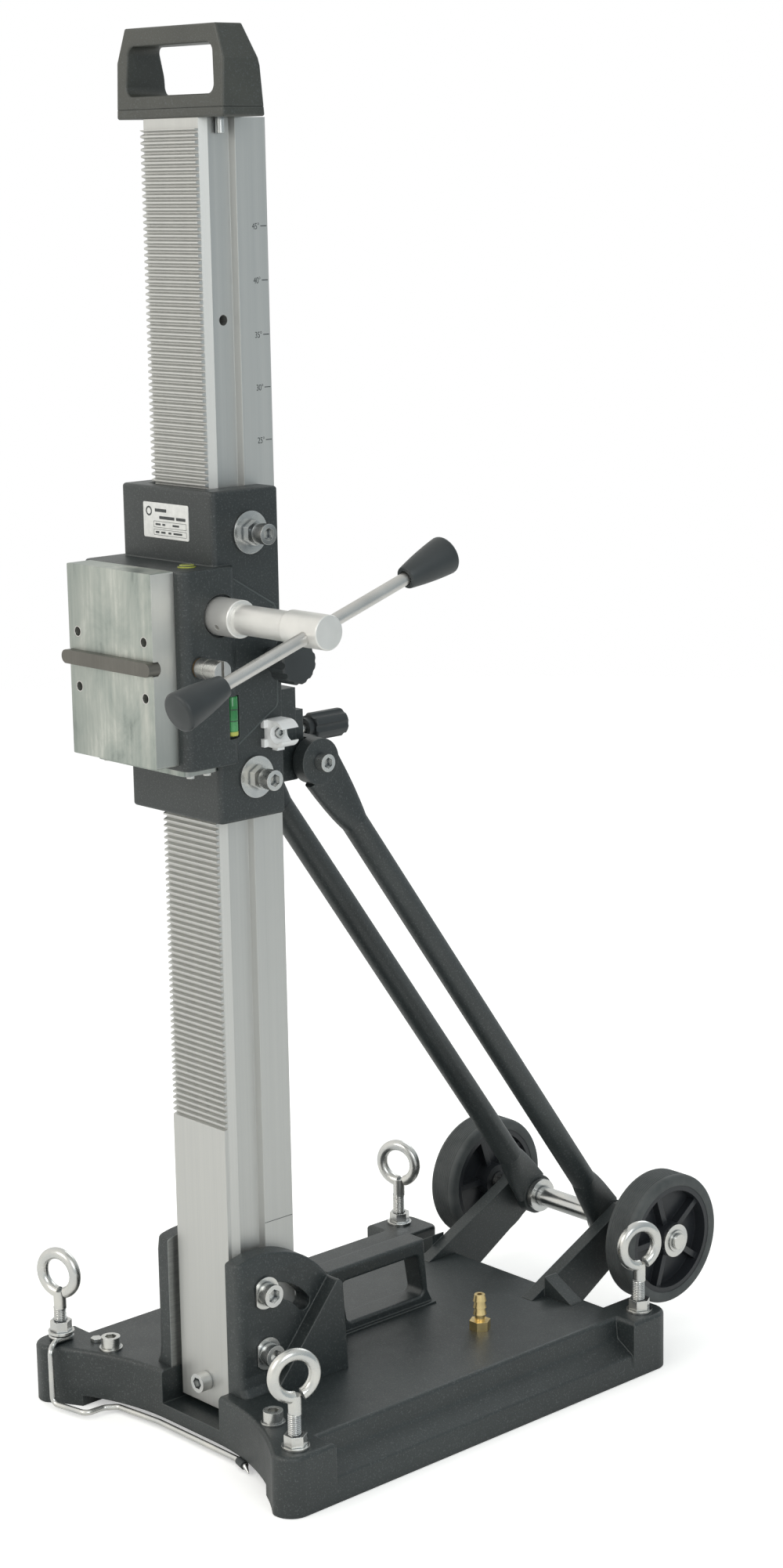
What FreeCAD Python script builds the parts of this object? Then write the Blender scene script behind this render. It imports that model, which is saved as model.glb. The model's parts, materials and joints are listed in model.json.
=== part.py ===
import FreeCAD, Part
import Sketcher
import math
import os

# Core drill rig: a vacuum base with levelling screws and wheels, a tilting column with a milled
# rack, a crank-driven carriage and a pair of bracing struts.
# Frame: millimetres. X to the right seen from the rack side, Y towards the wheels, Z up.
# Origin: on the ground, in the middle of the four levelling screws.

SIZES = {
    # base casting
    "base_half": 190, "base_front": -244, "base_back": 244, "base_top": 56, "base_corner": 19,
    "rear_edge": 203, "rear_notch_half": 138, "scoop_radius": 220, "scoop_front": -200, "scoop_flat": 35,
    "front_relief": 10.5, "front_relief_half": 134, "front_relief_back": -184,
    "shelf_in": 166, "shelf_out": 188, "shelf_high": 35, "shelf_low": 23,
    "shelf_front": -189, "shelf_back": 191,
    "chamber_half": 150, "chamber_front": -96, "chamber_back": 186, "chamber_top": 44,
    "chamber_corner": 20, "seal_wide": 10, "seal_deep": 8, "seal_half": 163,
    "seal_front": -178, "seal_back": 198, "post_radius": 26,
    "nipple_x": 93.6, "nipple_y": 79.3, "nipple_top": 91, "foot_screw_x": 118,
    "foot_screw_y": -200, "small_bolt_x": 140.5,
    "screw_x": 170.5, "screw_y": 219, "screw_hole": 6.08, "pad_radius": 14,
    # column cheeks and carry handle
    "cheek_in": 41.5, "cheek_out": 66, "cheek_front": -188, "cheek_back": -76,
    "cheek_arch": 93.5, "socket_floor": 24,
    "pivot_y": -158, "pivot_z": 92, "lock_arm": 58, "lock_slot": 7.6,
    "bolt_radius": 7, "bolt_play": 0.08, "slot_angle": 51.5, "bolt_seat": 63,
    "bolt_length": 55, "cheek_face": 60.5,
    "gusset_out": 75, "gusset_front": -166, "gusset_peak_y": -82, "gusset_peak_z": 147,
    "stop_offset": 163, "grip_half": 12.5, "grip_top": 123, "grip_back": 84,
    "grip_foot_half": 17, "grip_foot_top": 66, "grip_foot_back": 94,
    "window_front": -24, "window_back": 76, "window_low": 66, "window_top": 108,
    "window_lean": 8, "window_round": 6,
    # wheels, axle and their arms
    "axle_y": 300.4, "axle_z": 98.6, "axle_radius": 10, "axle_end_radius": 7.5,
    "axle_half": 150, "axle_step": 104, "arm_in": 66, "arm_out": 80, "arm_boss": 21,
    "wheel_radius": 65, "wheel_in": 108, "wheel_out": 140, "tyre_thick": 11,
    "hub_radius": 17, "hub_in": 104.5, "hub_out": 142, "rim_ring": 5,
    "collar_radius": 17, "collar_wide": 6, "hub_washer": 16.5,
    # column
    "column_half": 41, "column_front": -179.4, "column_back": -106.2, "column_low": 30.4,
    "column_high": 1184, "front_half": 36.6, "groove_front": -168.5, "groove_back": -139.3,
    "groove_deep": 6, "groove_slope": 2.5, "tee_half": 7, "tee_lip": 7, "tee_wide": 13,
    "tee_deep": 15, "bore_half": 24, "bore_front": -168, "bore_back": -128,
    "heel_cut": 35, "rack_module": 1.75, "rack_low": 303.5, "rack_teeth": 159,
    "cross_hole_z": 1016, "cross_hole": 4.5,
    "foot_block_high": 170, "foot_screw_z": 54, "foot_tip": -150, "bush_radius_out": 9.2,
    "cap_screw_x": 29.5, "cap_screw_y": -154, "stop_screw_x": 39.4,
    # top handle
    "cap_half": 71.6, "cap_front": -177, "cap_back": -131, "cap_top": 1259.5,
    "cap_shoulder": 1231, "cap_top_half": 61, "cap_top_front": -174, "cap_top_back": -145,
    "cap_window_low": 1203, "cap_window_high": 1244, "cap_window_half": 58, "cap_round": 8,
    "cap_sink": 7,
    # carriage
    "car_half": 63, "car_front": -193.7, "car_back": -122.4, "car_low": 587.6,
    "car_high": 875.3, "car_play": 0.6, "box_half": 70, "box_front": -234, "box_low": 641,
    "box_high": 812, "box_corner": 9, "facet_out": 66.5, "facet_back": -130,
    "facet_low": 686, "facet_high": 773, "cover_thick": 5.5,
    "plate_half": 58.3, "plate_front": -258.4, "plate_low": 645.5, "plate_high": 812,
    "plate_hole_x": 46.2, "plate_hole_high": 753.5, "plate_hole_low": 705.5, "plate_hole": 4,
    "plate_bore": 5,
    "key_z": 731.5, "key_wide": 12, "key_front": -265.4, "key_seat": -253, "key_end": 61.5,
    "guide_y": -154, "guide_high": 838, "guide_low": 625, "guide_radius": 6,
    "pad_high": 42, "gear_room": 38.4, "vial_x": 44, "vial_y": -208,
    "side_vial_front": -187, "side_vial_back": -173.5, "side_vial_low": 663,
    "side_vial_high": 700, "clip_screw_y": -133.5, "clip_screw_z": 662,
    "clip_front": -143, "clip_seat": 71, "clip_out": 76,
    # feed gears and crank
    "pinion_teeth": 18, "shaft_step": 85, "shaft_radius": 8, "pinion_half": 30,
    "gear_teeth": 48, "small_teeth": 16, "gear_module": 1.5, "gear_in": 47, "gear_out": 55,
    "second_y": 24, "second_z": 41.569, "second_radius": 6, "second_head": 9,
    "bush_radius": 11, "hub_recess": 18.5, "crank_start": 66.5, "crank_neck": 98,
    "crank_head": 162, "crank_end": 209, "sleeve_radius": 16.4, "neck_radius": 12.9,
    "head_radius": 14.8, "lever_x": 193, "lever_radius": 5.6, "lever_half": 128,
    "lever_angle": 18, "grip_start": 99, "grip_length": 56, "grip_thin": 10.5,
    "grip_thick": 18.5, "grip_dome": 26, "neck_bore_end": 94,
    # clamps, strut slider and struts
    "clamp_y": -137, "clamp_z": 727, "clamp_radius": 19, "clamp_stud": 6,
    "slider_half": 40, "slider_gap": 0.3, "slider_mid": -87, "slider_step": -77,
    "slider_tail": -60, "slider_low": 609, "slider_lug": 646, "slider_shelf": 671,
    "slider_high": 692, "strut_y": -76, "strut_z": 626, "strut_in": 42, "strut_out": 60,
    "strut_mid": 52, "strut_radius": 12.5, "eye_in": 46, "eye_out": 58, "eye_radius": 20,
    "ear_radius": 21, "slider_knob_z": 644, "slider_knob": 13, "knob_start": -38,
    "knob_end": 1,
    # levelling eyebolts and centre pointer
    "eye_ring": 19.5, "eye_bar": 5.5, "eye_centre": 122, "shank_low": 4, "shank_radius": 6,
    "nut_high": 10, "nut_flats": 18, "washer_high": 2.5, "washer_radius": 12.5,
    "wire_radius": 2.7, "wire_low": 6, "wire_loop": 9.2, "wire_seat": 6.4,
}

doc = FreeCAD.newDocument("core_drill_rig")
sheet = doc.addObject("Spreadsheet::Sheet", "Dims")
for row, (alias, number) in enumerate(SIZES.items(), start=1):
    sheet.set(f"A{row}", alias)
    sheet.set(f"B{row}", str(number))
    sheet.setAlias(f"B{row}", alias)
doc.recompute()


class Size:
    """A number together with the sheet formula that gives it."""

    def __init__(self, number, formula):
        self.number = float(number)
        self.formula = formula

    def __add__(self, other):
        other = size(other)
        return Size(self.number + other.number, f"({self.formula} + {other.formula})")

    def __sub__(self, other):
        other = size(other)
        return Size(self.number - other.number, f"({self.formula} - {other.formula})")

    def __mul__(self, other):
        other = size(other)
        return Size(self.number * other.number, f"({self.formula} * {other.formula})")

    def __truediv__(self, other):
        other = size(other)
        return Size(self.number / other.number, f"({self.formula} / {other.formula})")

    def __neg__(self):
        return Size(-self.number, f"(-1 * {self.formula})")

    def __radd__(self, other):
        return size(other) + self

    def __rsub__(self, other):
        return size(other) - self

    def __rmul__(self, other):
        return size(other) * self


def size(thing):
    return thing if isinstance(thing, Size) else Size(thing, f"({thing:.6f})")


class Dims:
    """Every cell of the sheet, by its alias."""


for alias, number in SIZES.items():
    setattr(Dims, alias, Size(number, f"Dims.{alias}"))
d = Dims

# derived sizes
rack_pitch = d.rack_module * math.pi
rack_top = d.rack_low + rack_pitch * (d.rack_teeth - 1)
pinion_radius = d.rack_module * d.pinion_teeth / 2
shaft_y = d.column_front + d.rack_module - pinion_radius
shaft_z = d.rack_low + rack_pitch * d.shaft_step
second_y = shaft_y - d.second_y
second_z = shaft_z - d.second_z
lock_z = d.pivot_z + d.lock_arm

nodes = {}
TURN = {
    "x": FreeCAD.Rotation(FreeCAD.Vector(0, 1, 0), 90),
    "y": FreeCAD.Rotation(FreeCAD.Vector(1, 0, 0), -90),
    "z": FreeCAD.Rotation(),
}
AXES = {"x": "yz", "y": "xz", "z": "xy"}


def node(label, thing):
    """Name a finished sub-part: its label is its file's name."""
    thing.Label = label
    nodes[label] = thing
    return thing


def bind(thing, **sizes):
    for name, value in sizes.items():
        value = size(value)
        setattr(thing, name, value.number)
        thing.setExpression(name, value.formula)


def place(thing, spot, rotation=FreeCAD.Rotation()):
    """Put a thing at a spot of three sizes and tie the spot to the sheet."""
    spot = [size(value) for value in spot]
    thing.Placement = FreeCAD.Placement(FreeCAD.Vector(*[v.number for v in spot]), rotation)
    for axis, value in zip("xyz", spot):
        thing.setExpression(f"Placement.Base.{axis}", value.formula)


def box(name, x, y, z):
    """A block from low to high along each axis."""
    thing = doc.addObject("Part::Box", name)
    spans = [(size(low), size(high)) for low, high in (x, y, z)]
    bind(thing, Length=spans[0][1] - spans[0][0], Width=spans[1][1] - spans[1][0],
         Height=spans[2][1] - spans[2][0])
    place(thing, [low for low, high in spans])
    return thing


def along(thing, axis, span, centre):
    """Stand a round or prismatic primitive on its axis, from the low end of the span."""
    spot = dict(zip(AXES[axis], centre))
    spot[axis] = span[0]
    place(thing, [spot[letter] for letter in "xyz"], TURN[axis])


def rod(name, radius, axis, span, centre):
    thing = doc.addObject("Part::Cylinder", name)
    bind(thing, Radius=radius, Height=size(span[1]) - span[0])
    along(thing, axis, span, centre)
    return thing


def cone(name, start, end, axis, span, centre):
    thing = doc.addObject("Part::Cone", name)
    bind(thing, Radius1=start, Radius2=end, Height=size(span[1]) - span[0])
    along(thing, axis, span, centre)
    return thing


def hexagon(name, flats, axis, span, centre):
    thing = doc.addObject("Part::Prism", name)
    thing.Polygon = 6
    bind(thing, Circumradius=size(flats) / math.sqrt(3), Height=size(span[1]) - span[0])
    along(thing, axis, span, centre)
    return thing


def fuse(name, *things):
    thing = doc.addObject("Part::MultiFuse", name)
    thing.Shapes = list(things)
    thing.Refine = True
    return thing


def common(name, *things):
    thing = doc.addObject("Part::MultiCommon", name)
    thing.Shapes = list(things)
    return thing


def cut(name, base, *tools):
    tool = tools[0] if len(tools) == 1 else fuse(f"{name}_tools", *tools)
    thing = doc.addObject("Part::Cut", name)
    thing.Base = base
    thing.Tool = tool
    thing.Refine = True
    return thing


def group(name, *things):
    """Identical loose pieces that share one node."""
    thing = doc.addObject("Part::Compound", name)
    thing.Links = list(things)
    return thing


def sketch_on(body, plane, points, offset):
    """A closed outline of straight sides whose corners are all tied to the sheet."""
    sketch = body.newObject("Sketcher::SketchObject", f"{body.Name}_sketch")
    origin = next(f for f in body.Origin.OriginFeatures if f.Role == f"{plane}_Plane")
    sketch.AttachmentSupport = [(origin, "")]
    sketch.MapMode = "FlatFace"
    offset = size(offset)
    sketch.AttachmentOffset = FreeCAD.Placement(
        FreeCAD.Vector(0, 0, offset.number), FreeCAD.Rotation())
    sketch.setExpression("AttachmentOffset.Base.z", offset.formula)
    corners = [(size(u), size(v)) for u, v in points]
    spots = [FreeCAD.Vector(u.number, v.number, 0) for u, v in corners]
    count = len(spots)
    for k in range(count):
        sketch.addGeometry(Part.LineSegment(spots[k], spots[(k + 1) % count]), False)
    for k in range(count):
        sketch.addConstraint(Sketcher.Constraint("Coincident", k, 2, (k + 1) % count, 1))
    for k, corner in enumerate(corners):
        for direction, value in zip(("DistanceX", "DistanceY"), corner):
            place_at = Sketcher.Constraint(direction, -1, 1, k, 1, value.number)
            index = sketch.addConstraint(place_at)
            sketch.setExpression(f"Constraints[{index}]", value.formula)
    return sketch


def prism(name, plane, points, span, corner=None):
    """A body padded from an outline. A corner radius rounds its long edges."""
    body = doc.addObject("PartDesign::Body", name)
    low, high = size(span[0]), size(span[1])
    offset = -high if plane == "XZ" else low
    sketch = sketch_on(body, plane, points, offset)
    pad = body.newObject("PartDesign::Pad", f"{name}_pad")
    pad.Profile = sketch
    bind(pad, Length=high - low)
    if corner is not None:
        doc.recompute()
        normal = {"XY": FreeCAD.Vector(0, 0, 1), "XZ": FreeCAD.Vector(0, 1, 0),
                  "YZ": FreeCAD.Vector(1, 0, 0)}[plane]
        long_edges = [f"Edge{k}" for k, edge in enumerate(pad.Shape.Edges, start=1)
                      if edge.tangentAt(edge.FirstParameter).cross(normal).Length < 1e-6]
        rounding = body.newObject("PartDesign::Fillet", f"{name}_round")
        rounding.Base = (pad, long_edges)
        bind(rounding, Radius=corner)
    return body


def ring(name, outer, inner, axis, span, centre):
    return cut(name, rod(f"{name}_out", outer, axis, span, centre),
               rod(f"{name}_in", inner, axis, span, centre))


def cap_screw(name, radius, length, head_radius, head_high, axis, seat, centre, way=1):
    """A socket head screw: its head sits on the seat and its shank runs back from it."""
    seat = size(seat)
    tip = seat - way * size(length)
    top = seat + way * size(head_high)
    order = (lambda a, b: (a, b)) if way > 0 else (lambda a, b: (b, a))
    shank = rod(f"{name}_shank", radius, axis, order(tip, seat), centre)
    head = rod(f"{name}_head", head_radius, axis, order(seat, top), centre)
    socket_floor = top - way * size(head_high) * 0.55
    socket = hexagon(f"{name}_socket", size(head_radius) * 1.1, axis,
                     order(socket_floor, top), centre)
    return cut(name, fuse(f"{name}_solid", shank, head), socket)


def smooth(name, thing, radius, pick):
    """Round the edges whose middle point the rule picks."""
    doc.recompute()
    rounded = doc.addObject("Part::Fillet", name)
    rounded.Base = thing
    chosen = []
    for k, edge in enumerate(thing.Shape.Edges, start=1):
        middle = edge.valueAt((edge.FirstParameter + edge.LastParameter) / 2)
        if pick(edge, middle):
            chosen.append((k, size(radius).number, size(radius).number))
    rounded.Edges = chosen
    return rounded


def steep(edge, least=0.5):
    """True for a straight edge that rises more than it runs, or as steeply as is asked."""
    return (edge.Curve.TypeId == "Part::GeomLine"
            and abs(edge.tangentAt(edge.FirstParameter).z) > least)


def both_sides(make, *names):
    """One piece on each side: the maker gets a name and -1 for left or 1 for right."""
    return [make(name, side) for name, side in zip(names, (-1, 1))]


def side_span(side, near, far):
    """A span along X between two distances from the middle plane, on one side."""
    return (size(near), size(far)) if side > 0 else (-size(far), -size(near))


# ---------------------------------------------------------------- base casting

def base_plate():
    slab = prism("base_slab", "XY", [
        (-d.base_half, d.base_front), (d.base_half, d.base_front),
        (d.base_half, d.base_back), (-d.base_half, d.base_back)], (0, d.base_top),
        corner=d.base_corner)
    scoop_y = d.scoop_front - d.scoop_radius
    scoop = fuse(
        "scoop",
        rod("scoop_right", d.scoop_radius, "z", (-1, 60), (d.scoop_flat, scoop_y)),
        rod("scoop_left", d.scoop_radius, "z", (-1, 60), (-d.scoop_flat, scoop_y)),
        box("scoop_middle", (-d.scoop_flat, d.scoop_flat), (scoop_y, d.scoop_front), (-1, 60)))
    relief = box("front_relief", (-d.front_relief_half, d.front_relief_half),
                 (d.base_front - 5, d.front_relief_back), (-1, d.front_relief))
    notch = box("rear_notch", (-d.rear_notch_half, d.rear_notch_half),
                (d.rear_edge, d.base_back + 5), (-1, 60))
    shelves = []
    for side, label in ((-1, "left"), (1, "right")):
        outline = [(side * d.shelf_in, 57), (side * (d.shelf_in + 2), d.shelf_high),
                   (side * d.shelf_out, d.shelf_low), (side * (d.base_half + 1), -1),
                   (side * 210, -1), (side * 210, 57)]
        shelf = prism(f"shelf_{label}", "XZ", outline, (d.shelf_front, d.shelf_back))
        posts = [rod(f"shelf_{label}_post_{end}", d.post_radius, "z", (-2, 60),
                     (side * d.screw_x, way * d.screw_y))
                 for end, way in (("front", -1), ("back", 1))]
        shelves.append(cut(f"shelf_{label}_cut", shelf, *posts))
    chamber = prism("vacuum_chamber", "XY", [
        (-d.chamber_half, d.chamber_front), (d.chamber_half, d.chamber_front),
        (d.chamber_half, d.chamber_back), (-d.chamber_half, d.chamber_back)],
        (-1, d.chamber_top), corner=d.chamber_corner)
    plate = cut("base_plate", slab, scoop, relief, notch, chamber, *shelves)
    half, middle = SIZES["base_half"], (SIZES["shelf_front"] + SIZES["shelf_back"]) / 2
    plate = smooth("base_front_corners", plate, 10, lambda edge, at: steep(edge, 0.999)
                   and SIZES["shelf_in"] < abs(at.x) < half - 20 and at.y < -230)
    plate = smooth("base_rear_corners", plate, 8, lambda edge, at: steep(edge, 0.999)
                   and abs(abs(at.x) - SIZES["rear_notch_half"]) < 0.5 and at.y > 230)
    plate = smooth("base_top_edges", plate, 4,
                   lambda edge, at: abs(at.z - SIZES["base_top"]) < 0.01)
    plate = smooth("base_ledge_edges", plate, 3, lambda edge, at: edge.Length > 300
                   and abs(at.y - middle) < 2 and abs(at.z - SIZES["shelf_low"]) < 0.1)
    return smooth("base_ledge_roots", plate, 5, lambda edge, at: edge.Length > 300
                  and abs(at.y - middle) < 2 and abs(at.z - SIZES["shelf_high"]) < 0.1)


def seal_block(name, inset, low, high):
    """The room that the seal's outer or inner outline takes up."""
    x = d.seal_half - inset
    return prism(name, "XY", [
        (-x, d.seal_front + inset), (x, d.seal_front + inset),
        (x, d.seal_back - inset), (-x, d.seal_back - inset)], (low, high), corner=12)


def cheek(side):
    """One wall beside the column, round on top about the tilt pivot."""
    label = "left" if side < 0 else "right"
    wall = prism(f"cheek_{label}_wall", "XZ", [
        (side * (d.cheek_in - 1), d.socket_floor - 4), (side * d.cheek_out, d.socket_floor - 4),
        (side * d.cheek_out, d.base_top), (side * (d.cheek_face + 1.5), d.base_top + 8),
        (side * d.cheek_face, d.base_top + 18), (side * d.cheek_face, 168),
        (side * (d.cheek_face - 4), 190), (side * (d.cheek_in - 1), 190)],
        (d.cheek_front, d.cheek_back))
    outline = fuse(
        f"cheek_{label}_outline",
        rod(f"cheek_{label}_arch", d.cheek_arch, "x", side_span(side, 30, 90),
            (d.pivot_y, d.pivot_z)),
        box(f"cheek_{label}_foot", side_span(side, 30, 90), (d.cheek_front - 5, d.cheek_back + 5),
            (d.socket_floor - 5, d.pivot_z)))
    shaped = common(f"cheek_{label}", wall, outline)
    shaped = smooth(f"cheek_{label}_front", shaped, 7,
                    lambda edge, at: at.y < SIZES["cheek_front"] + 0.1 and steep(edge)
                    and abs(at.x) > SIZES["cheek_face"] - 5.5)
    shaped = smooth(f"cheek_{label}_top", shaped, 3,
                    lambda edge, at: at.z > 150 and abs(at.x) > SIZES["cheek_face"] - 5
                    and SIZES["cheek_front"] + 2 < at.y < SIZES["cheek_back"] - 2)
    gusset = prism(f"gusset_{label}", "YZ", [
        (d.gusset_front, d.base_top - 6), (d.gusset_peak_y, d.gusset_peak_z),
        (d.gusset_peak_y + 5, d.gusset_peak_z - 6), (d.gusset_peak_y + 10, d.base_top - 6)],
        side_span(side, d.cheek_in, d.gusset_out), corner=3)
    return [shaped, gusset]


def column_stop():
    """The sloped block that closes the column's socket at the back."""
    return prism("column_stop", "YZ", [
        (d.socket_floor - d.stop_offset, d.socket_floor - 4),
        (d.socket_floor - d.stop_offset, d.socket_floor),
        (d.cheek_back, d.cheek_back + d.stop_offset),
        (d.cheek_back, d.socket_floor - 4)], (-d.cheek_in - 1, d.cheek_in + 1))


def carry_grip():
    bow = prism("grip_bow", "YZ", [
        (d.base_top - d.stop_offset - 6, d.base_top - 6),
        (d.grip_top - d.stop_offset, d.grip_top), (d.grip_back, d.grip_top),
        (d.grip_back + 5, d.grip_foot_top), (d.grip_foot_back + 3, d.base_top - 6)],
        (-d.grip_half, d.grip_half))
    window = prism("grip_window", "YZ", [
        (d.window_front + d.window_lean, d.window_low), (d.window_front, d.window_top),
        (d.window_back, d.window_top), (d.window_back + 7, d.window_low)],
        (-40, 40), corner=d.window_round)
    opened = cut("grip_opened", bow, window)
    rounded = smooth("grip_rounded", opened, 3,
                     lambda edge, at: abs(abs(at.x) - 12.5) < 0.01 and at.z > 58)
    foot = prism("grip_foot", "YZ", [
        (-60, d.base_top - 6), (-60, d.base_top + 2), (d.grip_foot_back, d.base_top + 2),
        (d.grip_foot_back + 2, d.base_top - 6)], (-d.grip_foot_half, d.grip_foot_half))
    return [rounded, foot]


def wheel_arm(side):
    label = "left" if side < 0 else "right"
    web = prism(f"arm_{label}_web", "YZ", [
        (150, d.base_top - 6), (d.axle_y - 6, d.axle_z + d.arm_boss),
        (d.axle_y + 12, d.axle_z - d.arm_boss + 3), (d.rear_edge - 2, 16),
        (d.chamber_back + 2, 16), (d.chamber_back + 2, d.base_top - 6)],
        side_span(side, d.arm_in, d.arm_out))
    boss = rod(f"arm_{label}_boss", d.arm_boss, "x", side_span(side, d.arm_in, d.arm_out + 4),
               (d.axle_y, d.axle_z))
    flare = prism(f"arm_{label}_flare", "XZ", [
        (side * d.arm_out, d.base_top - 6), (side * 128, d.base_top - 6),
        (side * d.arm_out, d.base_top + 20)], (d.rear_edge - 22, d.rear_edge - 6))
    return [web, boss, flare]


def whole_casting():
    pad = rod("middle_pad", d.pad_radius, "z", (0, d.base_top - 6), (0, 0))
    raised = [base_plate(), pad, column_stop()] + cheek(-1) + cheek(1)
    raised += carry_grip() + wheel_arm(-1) + wheel_arm(1)
    body = fuse("base_body", *raised)
    socket = prism("column_socket", "YZ", [
        (-260, d.socket_floor), (d.socket_floor - d.stop_offset, d.socket_floor),
        (90 - d.stop_offset, 90), (-73, 200), (-260, 200)], (-d.cheek_in, d.cheek_in))
    seal_groove = cut("seal_groove", seal_block("seal_groove_out", 0, -1, d.seal_deep),
                      seal_block("seal_groove_in", d.seal_wide, -2, d.seal_deep + 1))
    holes = [rod(f"screw_hole_{x}_{y}", d.screw_hole, "z", (-1, d.base_top + 5),
                 (x * d.screw_x, y * d.screw_y)) for x in (-1, 1) for y in (-1, 1)]
    pivot = rod("pivot_hole", d.bolt_radius, "x", (-80, 80), (d.pivot_y, d.pivot_z))
    axle = rod("axle_hole", d.axle_radius, "x", (-90, 90), (d.axle_y, d.axle_z))
    nipple = rod("nipple_hole", 4, "z", (30, 70), (d.nipple_x, d.nipple_y))
    fixings = [rod(f"fixing_hole_{k}", radius, "z", (d.base_top - 20, d.base_top + 1), spot)
               for k, (radius, spot) in enumerate(front_fixings())]
    return cut("base_cast", body, socket, seal_groove, pivot, axle, nipple, arc_slots(),
               *holes, *fixings)


def base_parts():
    """The casting as four blocks that meet face to face: plate, cheeks, handle and arms."""
    cast = whole_casting()
    post_in = d.rear_notch_half - 4
    top, back = (d.base_top, 220), d.cheek_back
    plate_room = fuse(
        "plate_room", box("plate_room_main", (-210, 210), (-260, d.rear_edge), (-5, d.base_top)),
        *[box(f"plate_room_{side}", side_span(side, post_in, 210), (d.rear_edge - 1, 260),
              (-5, d.base_top)) for side in (-1, 1)])
    node("base_casting", common("base_plate_part", cast, plate_room))
    cheek_room = fuse(
        "cheek_room", box("cheek_room_main", (-100, 100), (-260, back), top),
        *[box(f"cheek_room_{side}", side_span(side, d.cheek_in - 0.5, 100), (back - 1, back + 10),
              top) for side in (-1, 1)])
    node("column_cheeks", common("cheek_part", cast, cheek_room))
    grip_room = box("grip_room", (-d.grip_foot_half - 3, d.grip_foot_half + 3), (back, 120), top)
    node("carry_handle", common("carry_handle_part", cast, grip_room))
    arm_room = fuse("arm_room", box("arm_room_top", (-post_in, post_in), (130, 340), top),
                    box("arm_room_back", (-post_in, post_in), (d.rear_edge, 340),
                        (-5, d.base_top + 1)))
    node("wheel_arms", common("wheel_arm_part", cast, arm_room))


def front_fixings():
    """Screw radius and place of the three small screws on the front edge of the base."""
    return [(5, (d.foot_screw_x, d.foot_screw_y)), (5, (-d.foot_screw_x, d.foot_screw_y)),
            (3, (-d.small_bolt_x, d.foot_screw_y))]


def arc_slots():
    """The slots that the lock bolt follows as the column tilts."""
    outer = d.lock_arm + d.lock_slot
    inner = d.lock_arm - d.lock_slot
    band = ring("slot_band", outer, inner, "x", (-80, 80), (d.pivot_y, d.pivot_z))
    end_y = d.lock_arm * math.sin(math.radians(SIZES["slot_angle"]))
    end_z = d.lock_arm * math.cos(math.radians(SIZES["slot_angle"]))
    wedge = prism("slot_wedge", "YZ", [
        (d.pivot_y, d.pivot_z), (d.pivot_y, d.pivot_z + 90),
        (d.pivot_y + end_y * 1.6, d.pivot_z + end_z + 60),
        (d.pivot_y + end_y * 1.6, d.pivot_z + end_z * 1.6)], (-80, 80))
    ends = [rod("slot_start", d.lock_slot, "x", (-80, 80), (d.pivot_y, lock_z)),
            rod("slot_end", d.lock_slot, "x", (-80, 80), (d.pivot_y + end_y, d.pivot_z + end_z))]
    return fuse("arc_slots", common("slot_sector", band, wedge), *ends)


def base_hardware():
    base_parts()
    seal = cut("seal", seal_block("seal_out", 0.5, 0.3, d.seal_deep),
               seal_block("seal_in", d.seal_wide - 0.5, 0, d.seal_deep + 1))
    node("vacuum_seal", seal)
    hex_foot = hexagon("nipple_hex", 18, "z", (d.base_top, d.base_top + 9),
                       (d.nipple_x, d.nipple_y))
    stem = rod("nipple_stem", 4, "z", (d.base_top - 12, d.base_top), (d.nipple_x, d.nipple_y))
    neck = rod("nipple_neck", 5, "z", (d.base_top + 9, d.nipple_top - 20),
               (d.nipple_x, d.nipple_y))
    barbs = [cone(f"nipple_barb_{k}", 6.5, 5, "z",
                  (d.nipple_top - 20 + 6.6 * k, d.nipple_top - 13.4 + 6.6 * k),
                  (d.nipple_x, d.nipple_y)) for k in range(3)]
    bore = rod("nipple_bore", 2.5, "z", (d.base_top - 15, d.nipple_top + 2),
               (d.nipple_x, d.nipple_y))
    node("vacuum_nipple", cut("nipple", fuse("nipple_solid", hex_foot, stem, neck, *barbs), bore))
    screws, washers = [], []
    for k, side in enumerate((-1, 1)):
        spot = (side * d.foot_screw_x, d.foot_screw_y)
        washers.append(ring(f"front_washer_{k}", 11, 5.2, "z", (d.base_top, d.base_top + 2), spot))
        screws.append(cap_screw(f"front_screw_{k}", 5, 18, 9, 10, "z", d.base_top + 2, spot))
    spot = (-d.small_bolt_x, d.foot_screw_y)
    screws.append(fuse("small_bolt",
                       rod("small_shank", 3, "z", (d.base_top - 15, d.base_top), spot),
                       hexagon("small_head", 10, "z", (d.base_top, d.base_top + 4), spot)))
    node("base_screws", group("base_screw_set", *screws))
    return washers


# ---------------------------------------------------------------- pivot and lock bolts

def side_bolt(name, side, height, radius):
    """A cap screw through one cheek, its head outside."""
    seat = side * d.bolt_seat
    return cap_screw(name, radius, d.bolt_length, 10.5, 11, "x", seat, (d.pivot_y, height),
                     way=side)


def side_washer(name, side, height, gap=0):
    plain = ring(f"{name}_ring", 15, d.bolt_radius, "x",
                 side_span(side, d.cheek_face + gap, d.bolt_seat),
                 (d.pivot_y, height))
    flat = box(f"{name}_flat", side_span(side, 50, 70), (d.pivot_y - 20, d.pivot_y - 11.5),
               (height - 20, height + 20))
    return cut(name, plain, flat)


def pivot_hardware():
    node("pivot_bolts", group("pivot_bolt_set", *both_sides(
        lambda name, side: side_bolt(name, side, d.pivot_z, d.bolt_radius),
        "pivot_bolt_left", "pivot_bolt_right")))
    node("pivot_washers", group("pivot_washer_set", *both_sides(
        lambda name, side: side_washer(name, side, d.pivot_z),
        "pivot_washer_left", "pivot_washer_right")))
    node("lock_bolts", group("lock_bolt_set", *both_sides(
        lambda name, side: side_bolt(name, side, lock_z, d.bolt_radius),
        "lock_bolt_left", "lock_bolt_right")))
    node("lock_washers", group("lock_washer_set", *both_sides(
        lambda name, side: side_washer(name, side, lock_z, 0.3),
        "lock_washer_left", "lock_washer_right")))


# ---------------------------------------------------------------- column

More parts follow.
